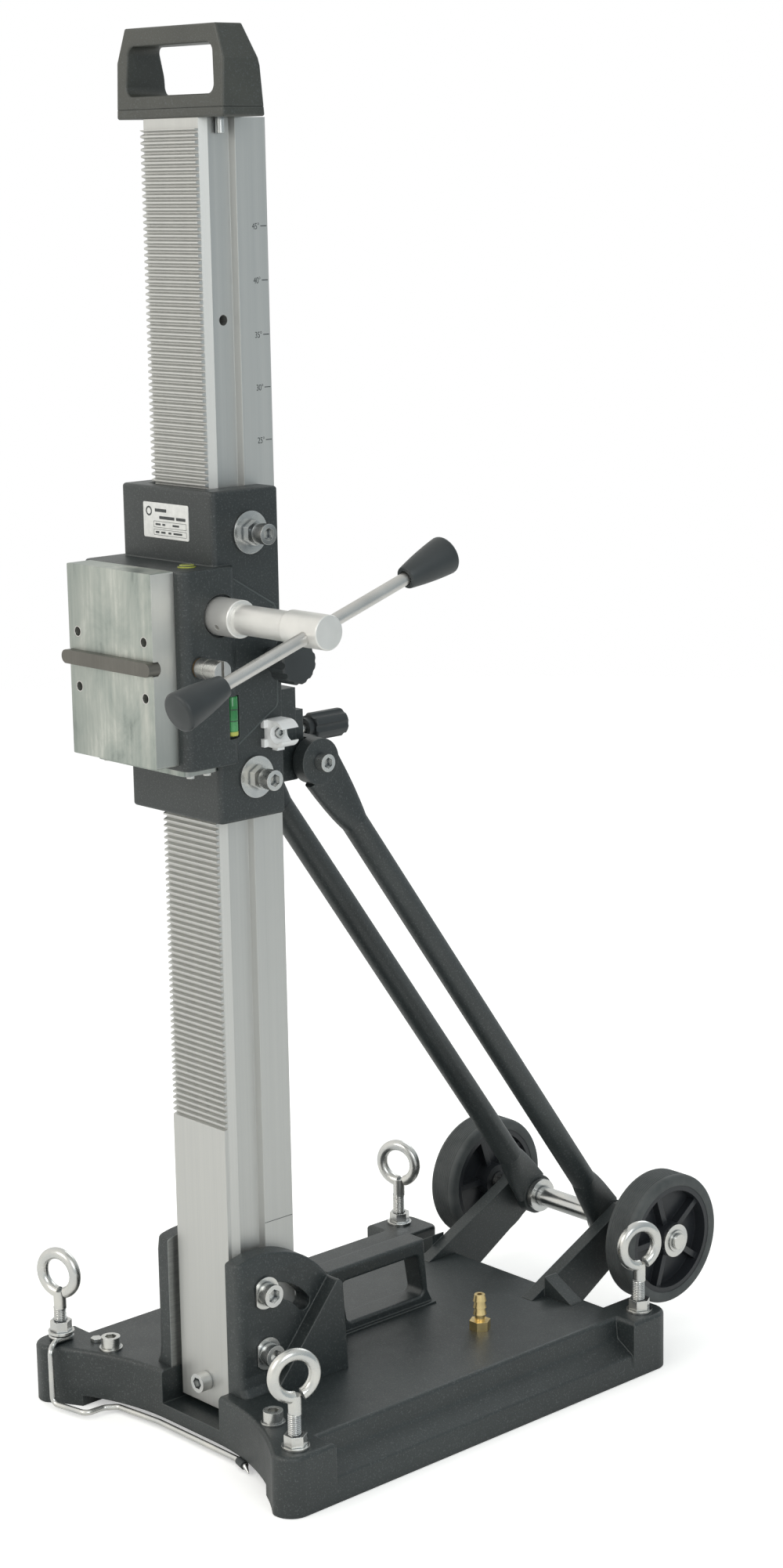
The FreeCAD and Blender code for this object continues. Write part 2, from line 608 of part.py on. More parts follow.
def outline_face(points):
    """A flat face in the YZ plane from numbers."""
    corners = [FreeCAD.Vector(0, y, z) for y, z in points]
    return Part.Face(Part.makePolygon(corners + corners[:1]))


def solid_feature(name, shape, spot):
    """A shape made by formula, set down at a spot tied to the sheet."""
    thing = doc.addObject("Part::Feature", name)
    thing.Shape = shape
    place(thing, spot)
    return thing


def rack_comb():
    """The material between the rack's teeth, as one comb in front of the column."""
    pitch = rack_pitch.number
    deep = 2.25 * d.rack_module.number
    lean = math.tan(math.radians(20))
    half_floor = pitch / 4 - 1.25 * d.rack_module.number * lean
    half_mouth = half_floor + deep * lean
    points = [(-1, -half_mouth)]
    for k in range(int(d.rack_teeth.number)):
        z = k * pitch
        points += [(0, z - half_mouth), (deep, z - half_floor), (deep, z + half_floor),
                   (0, z + half_mouth)]
    points.append((-1, points[-1][1]))
    comb = outline_face(points).extrude(FreeCAD.Vector(2 * SIZES["column_half"], 0, 0))
    return solid_feature("rack_comb", comb, (-d.column_half, d.column_front, d.rack_low))


def column_profile(side):
    """One half of the extrusion's outline, front to back."""
    groove_in = d.column_half - d.groove_deep
    return [(side * d.front_half, d.column_front), (side * d.front_half, d.column_front + 4),
            (side * d.column_half, d.groove_front),
            (side * groove_in, d.groove_front + d.groove_slope),
            (side * groove_in, d.groove_back - d.groove_slope),
            (side * d.column_half, d.groove_back), (side * d.column_half, d.column_back)]


def column():
    outline = column_profile(1) + column_profile(-1)[::-1]
    bar = prism("column_bar", "XY", outline, (d.column_low, d.column_high))
    bore = prism("column_bore", "XY", [
        (-d.bore_half, d.bore_front), (d.bore_half, d.bore_front),
        (d.bore_half, d.bore_back), (-d.bore_half, d.bore_back)],
        (d.column_low - 1, d.column_high + 1), corner=1)
    lip = d.column_back - d.tee_lip
    slot = fuse("tee_slot",
                box("tee_neck", (-d.tee_half, d.tee_half), (lip - 1, d.column_back + 1),
                    (d.column_low - 1, d.column_high + 1)),
                box("tee_head", (-d.tee_wide, d.tee_wide), (d.column_back - d.tee_deep, lip),
                    (d.column_low - 1, d.column_high + 1)))
    top_relief = box("rack_runout", (-50, 50), (d.column_front - 1, d.column_front + 3.94),
                     (rack_top + rack_pitch / 2, d.column_high + 1))
    heel = prism("heel_chamfer", "YZ", [
        (d.column_back + 1, d.column_low + d.heel_cut + 1), (d.column_back + 1, d.column_low - 1),
        (d.column_back - d.heel_cut - 1, d.column_low - 1)], (-50, 50))
    pivot = rod("column_pivot_hole", d.bush_radius_out, "x", (-50, 50), (d.pivot_y, d.pivot_z))
    lock = rod("column_lock_hole", d.bolt_radius, "x", (-50, 50), (d.pivot_y, lock_z))
    cross = rod("column_cross_hole", d.cross_hole, "x", (-50, 50),
                (d.pivot_y + 5.3, d.cross_hole_z))
    foot = rod("column_foot_hole", 6, "y", (d.column_front - 1, d.bore_front + 1),
               (0, d.foot_screw_z))
    tapped = [rod(f"column_tapped_{k}", 3, "z", (d.column_high - 30, d.column_high + 1),
                  (side * d.cap_screw_x, d.cap_screw_y)) for k, side in enumerate((-1, 1))]
    node("column", cut("column_cut", bar, rack_comb(), bore, slot, top_relief, heel, pivot, lock,
                       cross, foot, *tapped))


def column_hardware():
    block = box("foot_block_bar", (-d.bore_half + 0.5, d.bore_half - 0.5),
                (d.bore_front + 0.5, d.bore_back - 0.5),
                (d.column_low + 2, d.foot_block_high))
    pivot = rod("block_pivot_hole", d.bush_radius_out, "x", (-50, 50), (d.pivot_y, d.pivot_z))
    lock = rod("block_lock_hole", d.bolt_radius, "x", (-50, 50), (d.pivot_y, lock_z))
    thread = rod("block_foot_hole", 6, "y", (d.bore_front - 1, d.foot_tip + 1),
                 (0, d.foot_screw_z))
    heel = prism("block_heel", "YZ", [
        (d.column_back, d.column_low + d.heel_cut), (d.column_back, d.column_low - 1),
        (d.column_back - d.heel_cut - 1, d.column_low - 1)], (-50, 50))
    node("foot_block", cut("foot_block_cut", block, pivot, lock, thread, heel))
    node("pivot_bush", ring("pivot_bush", d.bush_radius_out, d.bolt_radius + d.bolt_play, "x",
                            (d.groove_deep - d.column_half, d.column_half - d.groove_deep),
                            (d.pivot_y, d.pivot_z)))
    node("foot_screw", cap_screw("foot_screw", 6, d.foot_tip - d.column_front, 9, 12, "y",
                                 d.column_front, (0, d.foot_screw_z), way=-1))


def top_handle():
    front = prism("cap_front_view", "XZ", [
        (-d.cap_half, d.column_high), (d.cap_half, d.column_high),
        (d.cap_half, d.cap_shoulder), (d.cap_top_half, d.cap_top),
        (-d.cap_top_half, d.cap_top), (-d.cap_half, d.cap_shoulder)],
        (d.cap_front - 5, d.column_back), corner=2)
    profile = prism("cap_side_view", "YZ", [
        (d.cap_front, d.column_high), (d.cap_top_front, d.cap_top),
        (d.cap_top_back, d.cap_top), (d.cap_back - 4, d.cap_shoulder - 6),
        (d.cap_back, d.column_high)], (-80, 80))
    window = prism("cap_window", "XZ", [
        (-d.cap_window_half - 1, d.cap_window_low), (d.cap_window_half + 1, d.cap_window_low),
        (d.cap_window_half - 2, d.cap_window_high), (2 - d.cap_window_half, d.cap_window_high)],
        (-200, -90), corner=d.cap_round)
    frame = cut("cap_frame", common("cap_solid", front, profile), window)
    rounded = smooth("cap_rounded", frame, 2,
                     lambda edge, at: at.z > SIZES["column_high"] + 20 and edge.Length > 20
                     and (at.y < -170 or at.y > -150))
    holes = [rod(f"cap_hole_{k}", 3, "z", (d.column_high - 1, d.cap_window_low + 1),
                 (side * d.cap_screw_x, d.cap_screw_y)) for k, side in enumerate((-1, 1))]
    stops = [rod(f"stop_hole_{k}", 4, "z", (d.column_high - 1, d.cap_window_low + 1),
                 (side * d.stop_screw_x, d.cap_screw_y)) for k, side in enumerate((-1, 1))]
    seat = d.cap_window_low - d.cap_sink
    sinks = [rod(f"cap_sink_{x.formula[5:]}_{side}", radius, "z", (seat, d.cap_window_low + 1),
                 (side * x, d.cap_screw_y))
             for x, radius in ((d.cap_screw_x, 5.3), (d.stop_screw_x, 4.9)) for side in (-1, 1)]
    step = (d.column_high + 7.6, d.column_high + 8.4)
    parting = cut("cap_parting", box("cap_parting_out", (-80, 80), (-190, -120), step),
                  box("cap_parting_in", (0.8 - d.cap_half, d.cap_half - 0.8),
                      (d.cap_front + 1, d.cap_back - 1.6), step))
    node("top_handle", cut("cap_drilled", rounded, parting, *holes, *stops, *sinks))
    screws = []
    for k, side in enumerate((-1, 1)):
        screws.append(cap_screw(f"handle_screw_{k}", 3, 33, 5, 6, "z", seat,
                                (side * d.cap_screw_x, d.cap_screw_y)))
        screws.append(cap_screw(f"stop_screw_{k}", 4, 25, 4.6, 4, "z", seat,
                                (side * d.stop_screw_x, d.cap_screw_y)))
    node("handle_screws", group("handle_screw_set", *screws))


# ---------------------------------------------------------------- carriage

def carriage_housing():
    shell = box("carriage_block", (-d.car_half, d.car_half), (d.car_front, d.car_back),
                (d.car_low, d.car_high))
    shell = smooth("carriage_rounded", shell, 5,
                   lambda edge, at: at.y < SIZES["car_front"] + 0.1 and edge.Length > 200)
    shell = smooth("carriage_ends", shell, 3,
                   lambda edge, at: abs(at.z - SIZES["car_high"]) < 0.1
                   or abs(at.z - SIZES["car_low"]) < 0.1)
    gearbox = prism("gearbox_block", "XY", [
        (-d.box_half, d.box_front), (d.box_half, d.box_front),
        (d.box_half, d.car_front + 20), (-d.box_half, d.car_front + 20)],
        (d.box_low, d.box_high), corner=d.box_corner)
    gearbox = smooth("gearbox_rim", gearbox, 2,
                     lambda edge, at: at.z > SIZES["box_high"] - 0.1 and at.y < -190)
    facet = prism("gearbox_facet", "YZ", [
        (d.car_front - 2, d.box_high), (d.facet_back, d.facet_high),
        (d.facet_back, d.facet_low), (d.car_front - 2, d.box_low + 3)],
        (-d.facet_out, d.facet_out), corner=4)
    channel = box("column_channel", (-d.column_half - d.car_play, d.column_half + d.car_play),
                  (d.column_front - d.car_play, d.column_back + 20),
                  (d.car_low - 1, d.car_high + 1))
    room = prism("gearbox_room", "XY", [
        (-d.cheek_in - 2, d.box_front + 7), (d.gear_out + 1.5, d.box_front + 7),
        (d.gear_out + 1.5, d.car_front + 8), (-d.cheek_in - 2, d.car_front + 8)],
        (d.box_low - 1, d.box_high - 7), corner=5)
    window = box("pinion_window", (-d.pinion_half - 3, d.column_half + d.car_play),
                 (d.car_front + 2, d.column_front + 1), (shaft_z - 21, shaft_z + 21))
    gear_room = rod("gear_room", d.gear_room, "x", (d.column_half, d.gear_out + 1.5),
                    (shaft_y, shaft_z))
    small_room = rod("small_gear_room", 14.2, "x", (d.column_half, d.gear_out + 1.5),
                     (second_y, second_z))
    recess = rod("crank_recess", d.hub_recess, "x", (d.box_half - 4, d.box_half + 5),
                 (shaft_y, shaft_z))
    bores = [
        rod("shaft_bore", d.bush_radius, "x", (-d.box_half - 1, d.box_half), (shaft_y, shaft_z)),
        rod("second_bore", d.second_radius + 2.5, "x", (d.gear_out, d.box_half + 1),
            (second_y, second_z)),
        rod("clamp_bore", d.clamp_stud + 0.08, "x", (d.column_half, d.box_half), (d.clamp_y, d.clamp_z)),
        rod("top_vial_bore", 8, "z", (d.box_high - 3, d.box_high + 1),
            (d.vial_x, d.vial_y)),
        rod("clip_screw_bore", 2.5, "x", (d.car_half - 12, d.car_half + 5),
            (d.clip_screw_y, d.clip_screw_z))]
    for z in (d.guide_low, d.guide_high):
        bores.append(rod(f"guide_bore_{z.formula[5:]}", d.guide_radius, "x",
                         (-d.car_half - 1, d.car_half + 1), (d.guide_y, z)))
    for x in (-1, 1):
        for z in (d.plate_hole_low, d.plate_hole_high):
            bores.append(rod(f"plate_bore_{x}_{z.formula[5:]}", d.plate_hole, "y",
                             (d.box_front - 1, d.box_front + d.plate_bore),
                             (x * d.plate_hole_x, z)))
    for k, (x, y) in enumerate(cover_screw_spots()):
        bores.append(rod(f"cover_bore_{k}", 2, "z", (d.box_low - 1, d.box_low + 12), (x, y)))
    vial_slot = box("side_vial_slot", (d.box_half - 6, d.box_half + 2),
                    (d.side_vial_front, d.side_vial_back), (d.side_vial_low, d.side_vial_high))
    body = fuse("carriage_body", shell, gearbox, facet)
    node("carriage_housing", cut("carriage_cut", body, channel, room, window, gear_room,
                                 small_room, recess, vial_slot, *bores))


def cover_screw_spots():
    return [(side * 58, d.box_front + 12) for side in (-1, 1)] + [
        (side * 58, d.car_front - 10) for side in (-1, 1)]


def carriage_hardware():
    plate = prism("gearbox_cover", "XY", [
        (-62, d.box_front + 3), (62, d.box_front + 3), (62, d.car_front - 0.5),
        (-62, d.car_front - 0.5)], (d.box_low - d.cover_thick, d.box_low), corner=5)
    holes = [rod(f"cover_hole_{k}", 2, "z", (d.box_low - 10, d.box_low + 1), spot)
             for k, spot in enumerate(cover_screw_spots())]
    node("gearbox_cover", cut("gearbox_cover_cut", plate, *holes))
    clip_screw = cap_screw("clip_screw", 2.5, 16, 4.5, 3, "x", d.clip_seat,
                           (d.clip_screw_y, d.clip_screw_z))
    node("carriage_screws", group("carriage_screw_set", clip_screw, *[
        cap_screw(f"cover_screw_{k}", 2, 14, 3.6, 2.4, "z", d.box_low - d.cover_thick, spot,
                  way=-1) for k, spot in enumerate(cover_screw_spots())]))
    pads, screws, locks = [], [], []
    for side in (-1, 1):
        for z in (d.guide_low, d.guide_high):
            name = f"{'left' if side < 0 else 'right'}_{z.formula[5:]}"
            inner = d.column_half - d.groove_deep + 0.4
            pads.append(prism(f"pad_{name}", "XY", [
                (side * (d.column_half + 0.6), d.groove_front + 0.8),
                (side * inner, d.groove_front + d.groove_slope + 0.8),
                (side * inner, d.groove_back - d.groove_slope - 0.8),
                (side * (d.column_half + 0.6), d.groove_back - 0.8)],
                (z - d.pad_high / 2, z + d.pad_high / 2)))
            spot = (d.guide_y, z)
            locks.append(ring(f"guide_washer_{name}", 18.5, 6, "x",
                                side_span(side, d.car_half, d.car_half + 2.5), spot))
            locks.append(cut(f"guide_nut_{name}",
                            hexagon(f"guide_nut_{name}_hex", 19, "x",
                                    side_span(side, d.car_half + 2.5, d.car_half + 10), spot),
                            rod(f"guide_nut_{name}_hole", 6, "x", (-100, 100), spot)))
            screws.append(cap_screw(f"guide_screw_{name}", 6,
                                    d.car_half + 14 - d.column_half - d.car_play, 9, 12, "x",
                                    side * (d.car_half + 14), spot, way=side))
    node("glide_pads", group("glide_pad_set", *pads))
    node("guide_screws", group("guide_screw_set", *screws))
    node("guide_nuts_and_washers", group("guide_lock_set", *locks))


def motor_plate():
    slab = prism("plate_slab", "XZ", [
        (-d.plate_half, d.plate_low), (d.plate_half, d.plate_low),
        (d.plate_half, d.plate_high), (-d.plate_half, d.plate_high)],
        (d.plate_front, d.box_front), corner=1.5)
    keyway = box("plate_keyway", (-70, 70), (d.plate_front - 1, d.key_seat),
                 (d.key_z - d.key_wide / 2, d.key_z + d.key_wide / 2))
    holes = [rod(f"plate_hole_{x}_{z.formula[5:]}", d.plate_hole, "y",
                 (d.plate_front - 1, d.box_front + 1), (x * d.plate_hole_x, z))
             for x in (-1, 1) for z in (d.plate_hole_low, d.plate_hole_high)]
    node("motor_plate", cut("motor_plate_cut", slab, keyway, *holes))
    half = d.key_wide / 2
    bar = fuse("key_bar",
               box("key_middle", (half - d.key_end, d.key_end - half),
                   (d.key_front, d.key_seat), (d.key_z - half, d.key_z + half)),
               *[rod(f"key_end_{side}", half, "y", (d.key_front, d.key_seat),
                     (side * (d.key_end - half), d.key_z)) for side in (-1, 1)])
    node("cross_key", bar)


# ---------------------------------------------------------------- feed gears and crank

def gear_outline(module, teeth, turn):
    """An involute gear in the YZ plane, a little thin at the pitch line for backlash.

    The first tooth points along +Y, turned from Y towards Z by the given angle."""
    pitch = module * teeth / 2
    base = pitch * math.cos(math.radians(20))
    tip, root = pitch + module, pitch - 1.25 * module
    backlash = 0.1

    def involute(radius):
        rolled = math.sqrt(max((radius / base) ** 2 - 1, 0))
        return rolled - math.atan(rolled)

    half = math.pi / (2 * teeth) - backlash / pitch
    start = max(root, base)
    radii = [root] + [start + (tip - start) * k / 4 for k in range(5)]
    flank = [(radius, half + involute(pitch) - involute(max(radius, base))) for radius in radii]
    points = []
    for tooth in range(teeth):
        middle = turn + 2 * math.pi * tooth / teeth
        for radius, angle in flank:
            points.append((radius * math.cos(middle - angle), radius * math.sin(middle - angle)))
        for radius, angle in flank[::-1]:
            points.append((radius * math.cos(middle + angle), radius * math.sin(middle + angle)))
    return outline_face(points)


def gear(name, module, teeth, turn, span, centre):
    wide = size(span[1]) - span[0]
    teeth = int(teeth.number)
    shape = gear_outline(module.number, teeth, turn).extrude(FreeCAD.Vector(wide.number, 0, 0))
    return solid_feature(name, shape, (span[0], *centre))


def crank():
    centre = (shaft_y, shaft_z)
    rack_gear = gear("rack_pinion", d.rack_module, d.pinion_teeth, 0,
                     (-d.pinion_half, d.pinion_half), centre)
    shaft = rod("crank_shaft", d.shaft_radius, "x", (-d.box_half + 2, d.neck_bore_end), centre)
    shoulder = rod("shaft_shoulder", 11, "x", (d.pinion_half, d.gear_in - 0.5), centre)
    node("pinion_shaft", fuse("pinion_shaft_solid", rack_gear, shaft, shoulder))
    mesh = math.atan2(-d.second_z.number, -d.second_y.number)
    drive = gear("drive_gear_teeth", d.gear_module, d.gear_teeth, mesh,
                 (d.gear_in, d.gear_out), centre)
    node("drive_gear", cut("drive_gear_bored", drive,
                           rod("drive_gear_bore", d.shaft_radius, "x", (0, 80), centre)))
    bushes = [ring("shaft_bush_left", d.bush_radius, d.shaft_radius + 0.08, "x",
                   (-d.box_half + 1, -d.cheek_in - 3), centre),
              ring("shaft_bush_right", d.bush_radius, d.shaft_radius + 0.08, "x",
                   (d.gear_out + 1.8, d.box_half - 4), centre)]
    node("shaft_bushes", group("shaft_bush_set", *bushes))
    sleeve = rod("hub_sleeve", d.sleeve_radius, "x", (d.crank_start, d.crank_neck), centre)
    neck = rod("hub_neck", d.neck_radius, "x", (d.crank_neck, d.crank_head), centre)
    head = rod("hub_head", d.head_radius, "x", (d.crank_head, d.crank_end), centre)
    bore = rod("hub_bore", d.shaft_radius, "x", (d.crank_start - 1, d.neck_bore_end), centre)
    hub = smooth("hub_rounded", fuse("hub_solid", sleeve, neck, head), 1.2,
                 lambda edge, at: edge.Curve.TypeId == "Part::GeomCircle"
                 and edge.Curve.Radius > SIZES["neck_radius"] + 1)
    lever = rod("lever_bar", d.lever_radius, "y", (-d.lever_half, d.lever_half), (0, 0))
    tilt = FreeCAD.Rotation(FreeCAD.Vector(1, 0, 0), d.lever_angle.number - 90)
    offset = tilt.multVec(FreeCAD.Vector(0, 0, -SIZES["lever_half"]))
    place(lever, (d.lever_x, shaft_y + offset.y, shaft_z + offset.z), tilt)
    cross_bore = rod("hub_cross_bore", d.lever_radius, "y", (-40, 40), (0, 0))
    offset = tilt.multVec(FreeCAD.Vector(0, 0, -40))
    place(cross_bore, (d.lever_x, shaft_y + offset.y, shaft_z + offset.z), tilt)
    screw_bore = rod("hub_screw_bore", 2.5, "z", (0, 30), (0, 0))
    place(screw_bore, (d.crank_start + 16, shaft_y, shaft_z),
          FreeCAD.Rotation(FreeCAD.Vector(1, 0, 0), 115))
    node("crank_hub", cut("crank_hub_bored", hub, bore, cross_bore, screw_bore))
    node("crank_lever", lever)
    grips = []
    for label, way in (("rear", 1), ("front", -1)):
        direction = tilt.multVec(FreeCAD.Vector(0, 0, way))
        turn = FreeCAD.Rotation(FreeCAD.Vector(0, 0, 1), direction)
        body = doc.addObject("Part::Cone", f"grip_{label}_body")
        bind(body, Radius1=d.grip_thin, Radius2=d.grip_thick, Height=d.grip_length - 10)
        start = direction * SIZES["grip_start"]
        place(body, (d.lever_x, shaft_y + start.y, shaft_z + start.z), turn)
        dome = doc.addObject("Part::Sphere", f"grip_{label}_dome")
        bind(dome, Radius=d.grip_dome)
        far = direction * (SIZES["grip_start"] + SIZES["grip_length"] + 4 - SIZES["grip_dome"])
        place(dome, (d.lever_x, shaft_y + far.y, shaft_z + far.z))
        barrel = doc.addObject("Part::Cylinder", f"grip_{label}_barrel")
        bind(barrel, Radius=d.grip_thick, Height=20)
        reach = direction * (SIZES["grip_start"] + SIZES["grip_length"] - 10)
        place(barrel, (d.lever_x, shaft_y + reach.y, shaft_z + reach.z), turn)
        hollow = doc.addObject("Part::Cylinder", f"grip_{label}_hole")
        bind(hollow, Radius=d.lever_radius, Height=d.lever_half - d.grip_start)
        place(hollow, (d.lever_x, shaft_y + start.y, shaft_z + start.z), turn)
        end = common(f"grip_{label}_end", barrel, dome)
        grips.append(cut(f"grip_{label}", fuse(f"grip_{label}_solid", body, end), hollow))
    node("crank_grips", group("crank_grip_set", *grips))


def second_shaft():
    centre = (second_y, second_z)
    big_turn = math.atan2(-d.second_z.number, -d.second_y.number)
    half_tooth = math.pi / d.small_teeth.number
    small = gear("small_gear", d.gear_module, d.small_teeth, big_turn + math.pi + half_tooth,
                 (d.gear_in, d.gear_out), centre)
    shaft = rod("second_journal", d.second_radius, "x", (d.gear_out, d.box_half + 2), centre)
    head = rod("second_head", d.second_head, "x", (d.box_half + 2, 100), centre)
    slot = box("second_slot", (95, 101), (second_y - 1.5, second_y + 1.5),
               (second_z - 12, second_z + 12))
    groove = ring("second_groove", 12, d.second_head - 0.7, "x", (83, 84), centre)
    node("reduction_shaft", cut("reduction_shaft_cut",
                                fuse("reduction_shaft_solid", small, shaft, head), slot, groove))
    node("reduction_bush", ring("second_bush", d.second_radius + 2.5, d.second_radius + 0.08,
                                "x", (d.gear_out + 1.5, d.box_half), centre))


# ---------------------------------------------------------------- carriage clamp and small parts

def star_knob(name, radius, axis, span, centre, lobes, dip):
    """A round knob with flutes cut along its rim and its outer edges softened."""
    knob = smooth(f"{name}_round", rod(f"{name}_barrel", radius, axis, span, centre), 2.5,
                  lambda edge, at: edge.Curve.TypeId == "Part::GeomCircle")
    flutes = []
    for k in range(lobes):
        angle = 2 * math.pi * k / lobes
        far = size(radius) + dip
        spot = (centre[0] + far * math.cos(angle), centre[1] + far * math.sin(angle))
        flutes.append(rod(f"{name}_flute_{k}", dip + 2.2, axis,
                          (size(span[0]) - 1, size(span[1]) + 1), spot))
    return cut(f"{name}_fluted", knob, *flutes)


def clamp():
    centre = (d.clamp_y, d.clamp_z)
    knob = star_knob("clamp", d.clamp_radius, "x", (84, 106), centre, 12, 1.2)
    boss = rod("clamp_boss", 10, "x", (d.car_half + 6, 84), centre)
    stud_hole = rod("clamp_stud_hole", d.clamp_stud, "x", (60, 98), centre)
    node("clamp_knob", cut("clamp_knob_cut", fuse("clamp_knob_solid", knob, boss), stud_hole))
    node("clamp_stud", rod("clamp_stud_bar", d.clamp_stud, "x",
                           (d.column_half + d.car_play, 98), centre))


def carriage_trim():
    node("top_vial", fuse("top_vial_solid",
                          rod("top_vial_body", 8, "z", (d.box_high - 3, d.box_high + 1),
                              (d.vial_x, d.vial_y)),
                          cone("top_vial_lens", 7, 6, "z",
                               (d.box_high + 1, d.box_high + 2), (d.vial_x, d.vial_y))))
    node("side_vial", box("side_vial_body", (d.box_half - 6, d.box_half - 0.5),
                          (d.side_vial_front, d.side_vial_back),
                          (d.side_vial_low, d.side_vial_high)))
    hose_clip()


def hose_clip():
    """A C-shaped clip that opens outwards, held to the carriage by one screw."""
    wide, high = (d.clip_front, d.clip_front + 19), (d.clip_screw_z - 12, d.clip_screw_z + 12)
    centre = (d.clip_out, d.clip_screw_z)
    solid = fuse(
        "clip_solid", box("clip_block", (d.car_half, d.clip_out), wide, high),
        rod("clip_round", 12, "y", wide, centre),
        box("clip_rib", (d.car_half + 3, d.clip_seat + 2), (wide[0] + 6, wide[0] + 14),
            (high[0] - 3.5, high[0] + 1)),
        box("clip_tab_low", (d.car_half, d.clip_seat - 3.5), (wide[0] - 4, wide[0] + 1),
            (high[0], high[0] + 7)),
        box("clip_tab_high", (d.car_half, d.clip_seat - 3.5), (wide[0] - 4, wide[0] + 1),
            (high[1] - 7, high[1])))
    channel = rod("clip_channel", 8, "y", (wide[0] - 1, wide[1] + 1),
                  (d.clip_seat + 8, d.clip_screw_z))
    mouth = box("clip_mouth", (d.clip_out, d.clip_out + 20), (wide[0] - 1, wide[1] + 1),
                (d.clip_screw_z - 5.5, d.clip_screw_z + 5.5))
    hole = rod("clip_hole", 2.5, "x", (50, 90), (d.clip_screw_y, d.clip_screw_z))
    head_room = rod("clip_head_room", 4.7, "x", (d.clip_seat, d.clip_seat + 6),
                    (d.clip_screw_y, d.clip_screw_z))
    node("hose_clip", cut("hose_clip_cut", solid, channel, mouth, hole, head_room))


# ---------------------------------------------------------------- slider and struts

def slider():
    back = d.column_back + d.slider_gap
    first = box("slider_plate", (-d.slider_half, d.slider_half), (back, d.slider_mid),
                (d.slider_low, d.slider_high))
    second = box("slider_step", (-d.slider_half + 2, d.slider_half - 2),
                 (d.slider_mid, d.slider_step), (d.slider_low, d.slider_shelf))
    lug = prism("slider_lug", "YZ", [
        (d.slider_step, d.slider_low), (d.strut_y + 8, d.slider_low),
        (d.slider_tail, d.slider_low + 9), (d.slider_tail, d.slider_lug - 6),
        (d.slider_tail - 6, d.slider_lug), (d.slider_step, d.slider_lug)],
        (-d.strut_in, d.strut_in))
    pivot = rod("slider_pivot_mark", 5, "x", (-60, 60), (d.strut_y, d.strut_z))
    stud = rod("slider_stud_hole", 5, "y", (back - 1, d.slider_tail + 1), (0, d.slider_knob_z))
    node("slider_block", cut("slider_cut", fuse("slider_solid", first, second, lug), stud, pivot))
    lip = d.column_back - d.tee_lip
    key = fuse("slider_key_solid",
               box("slider_key_head", (-d.tee_wide + 0.5, d.tee_wide - 0.5),
                   (d.column_back - d.tee_deep + 0.5, lip - 0.4),
                   (d.slider_low + 8, d.slider_high - 8)),
               box("slider_key_neck", (-d.tee_half + 0.4, d.tee_half - 0.4), (lip - 0.4, back),
                   (d.slider_low + 8, d.slider_high - 8)))
    node("slider_key", key)
    node("slider_stud", fuse("slider_stud_solid",
                             rod("slider_stud_bar", 5, "y", (back, d.knob_start + 20),
                                 (0, d.slider_knob_z)),
                             hexagon("slider_stud_nut", 17, "y",
                                     (d.slider_tail, d.slider_tail + 8),
                                     (0, d.slider_knob_z))))
    knob = star_knob("slider_knob", d.slider_knob, "y", (d.knob_start, d.knob_end),
                     (0, d.slider_knob_z), 6, 2.5)
    hole = rod("slider_knob_hole", 5.08, "y", (d.knob_start - 7, d.knob_start + 20),
               (0, d.slider_knob_z))
    neck = rod("slider_knob_neck", 9, "y", (d.knob_start - 6, d.knob_start), (0, d.slider_knob_z))
    node("slider_knob", cut("slider_knob_cut", fuse("slider_knob_solid", knob, neck), hole))


def flat_section(centre, across, wide, thick, square):
    """A closed smooth outline: a circle when square is 2, a flattened oval when it is more."""
    points = []
    for k in range(32):
        angle = 2 * math.pi * k / 32
        u, v = math.cos(angle), math.sin(angle)
        points.append(centre + across * (wide * math.copysign(abs(u) ** (2 / square), u))
                      + FreeCAD.Vector(thick * math.copysign(abs(v) ** (2 / square), v), 0, 0))
    curve = Part.BSplineCurve()
    curve.interpolate(points, PeriodicFlag=True)
    return Part.Wire(curve.toShape())


def flattened_end(name, spot, run, shift, wide, thick, long):
    """The end of a tube pressed flat towards its eye: it leaves the eye along the run."""
    across = run.cross(FreeCAD.Vector(1, 0, 0))
    radius = SIZES["strut_radius"]
    stations = ((0.16, 0, wide, thick, 4), (0.42, 0.25, wide * 0.93, thick * 1.06, 3.4),
                (0.72, 0.7, (wide + radius) / 2, (thick + radius) / 2, 2.5),
                (1, 1, radius - 0.1, radius - 0.1, 2))
    sections = [flat_section(run * (long * reach) + FreeCAD.Vector(shift * (1 - blend), 0, 0),
                             across, half, deep, square)
                for reach, blend, half, deep, square in stations]
    return solid_feature(name, Part.makeLoft(sections, True, False), spot)


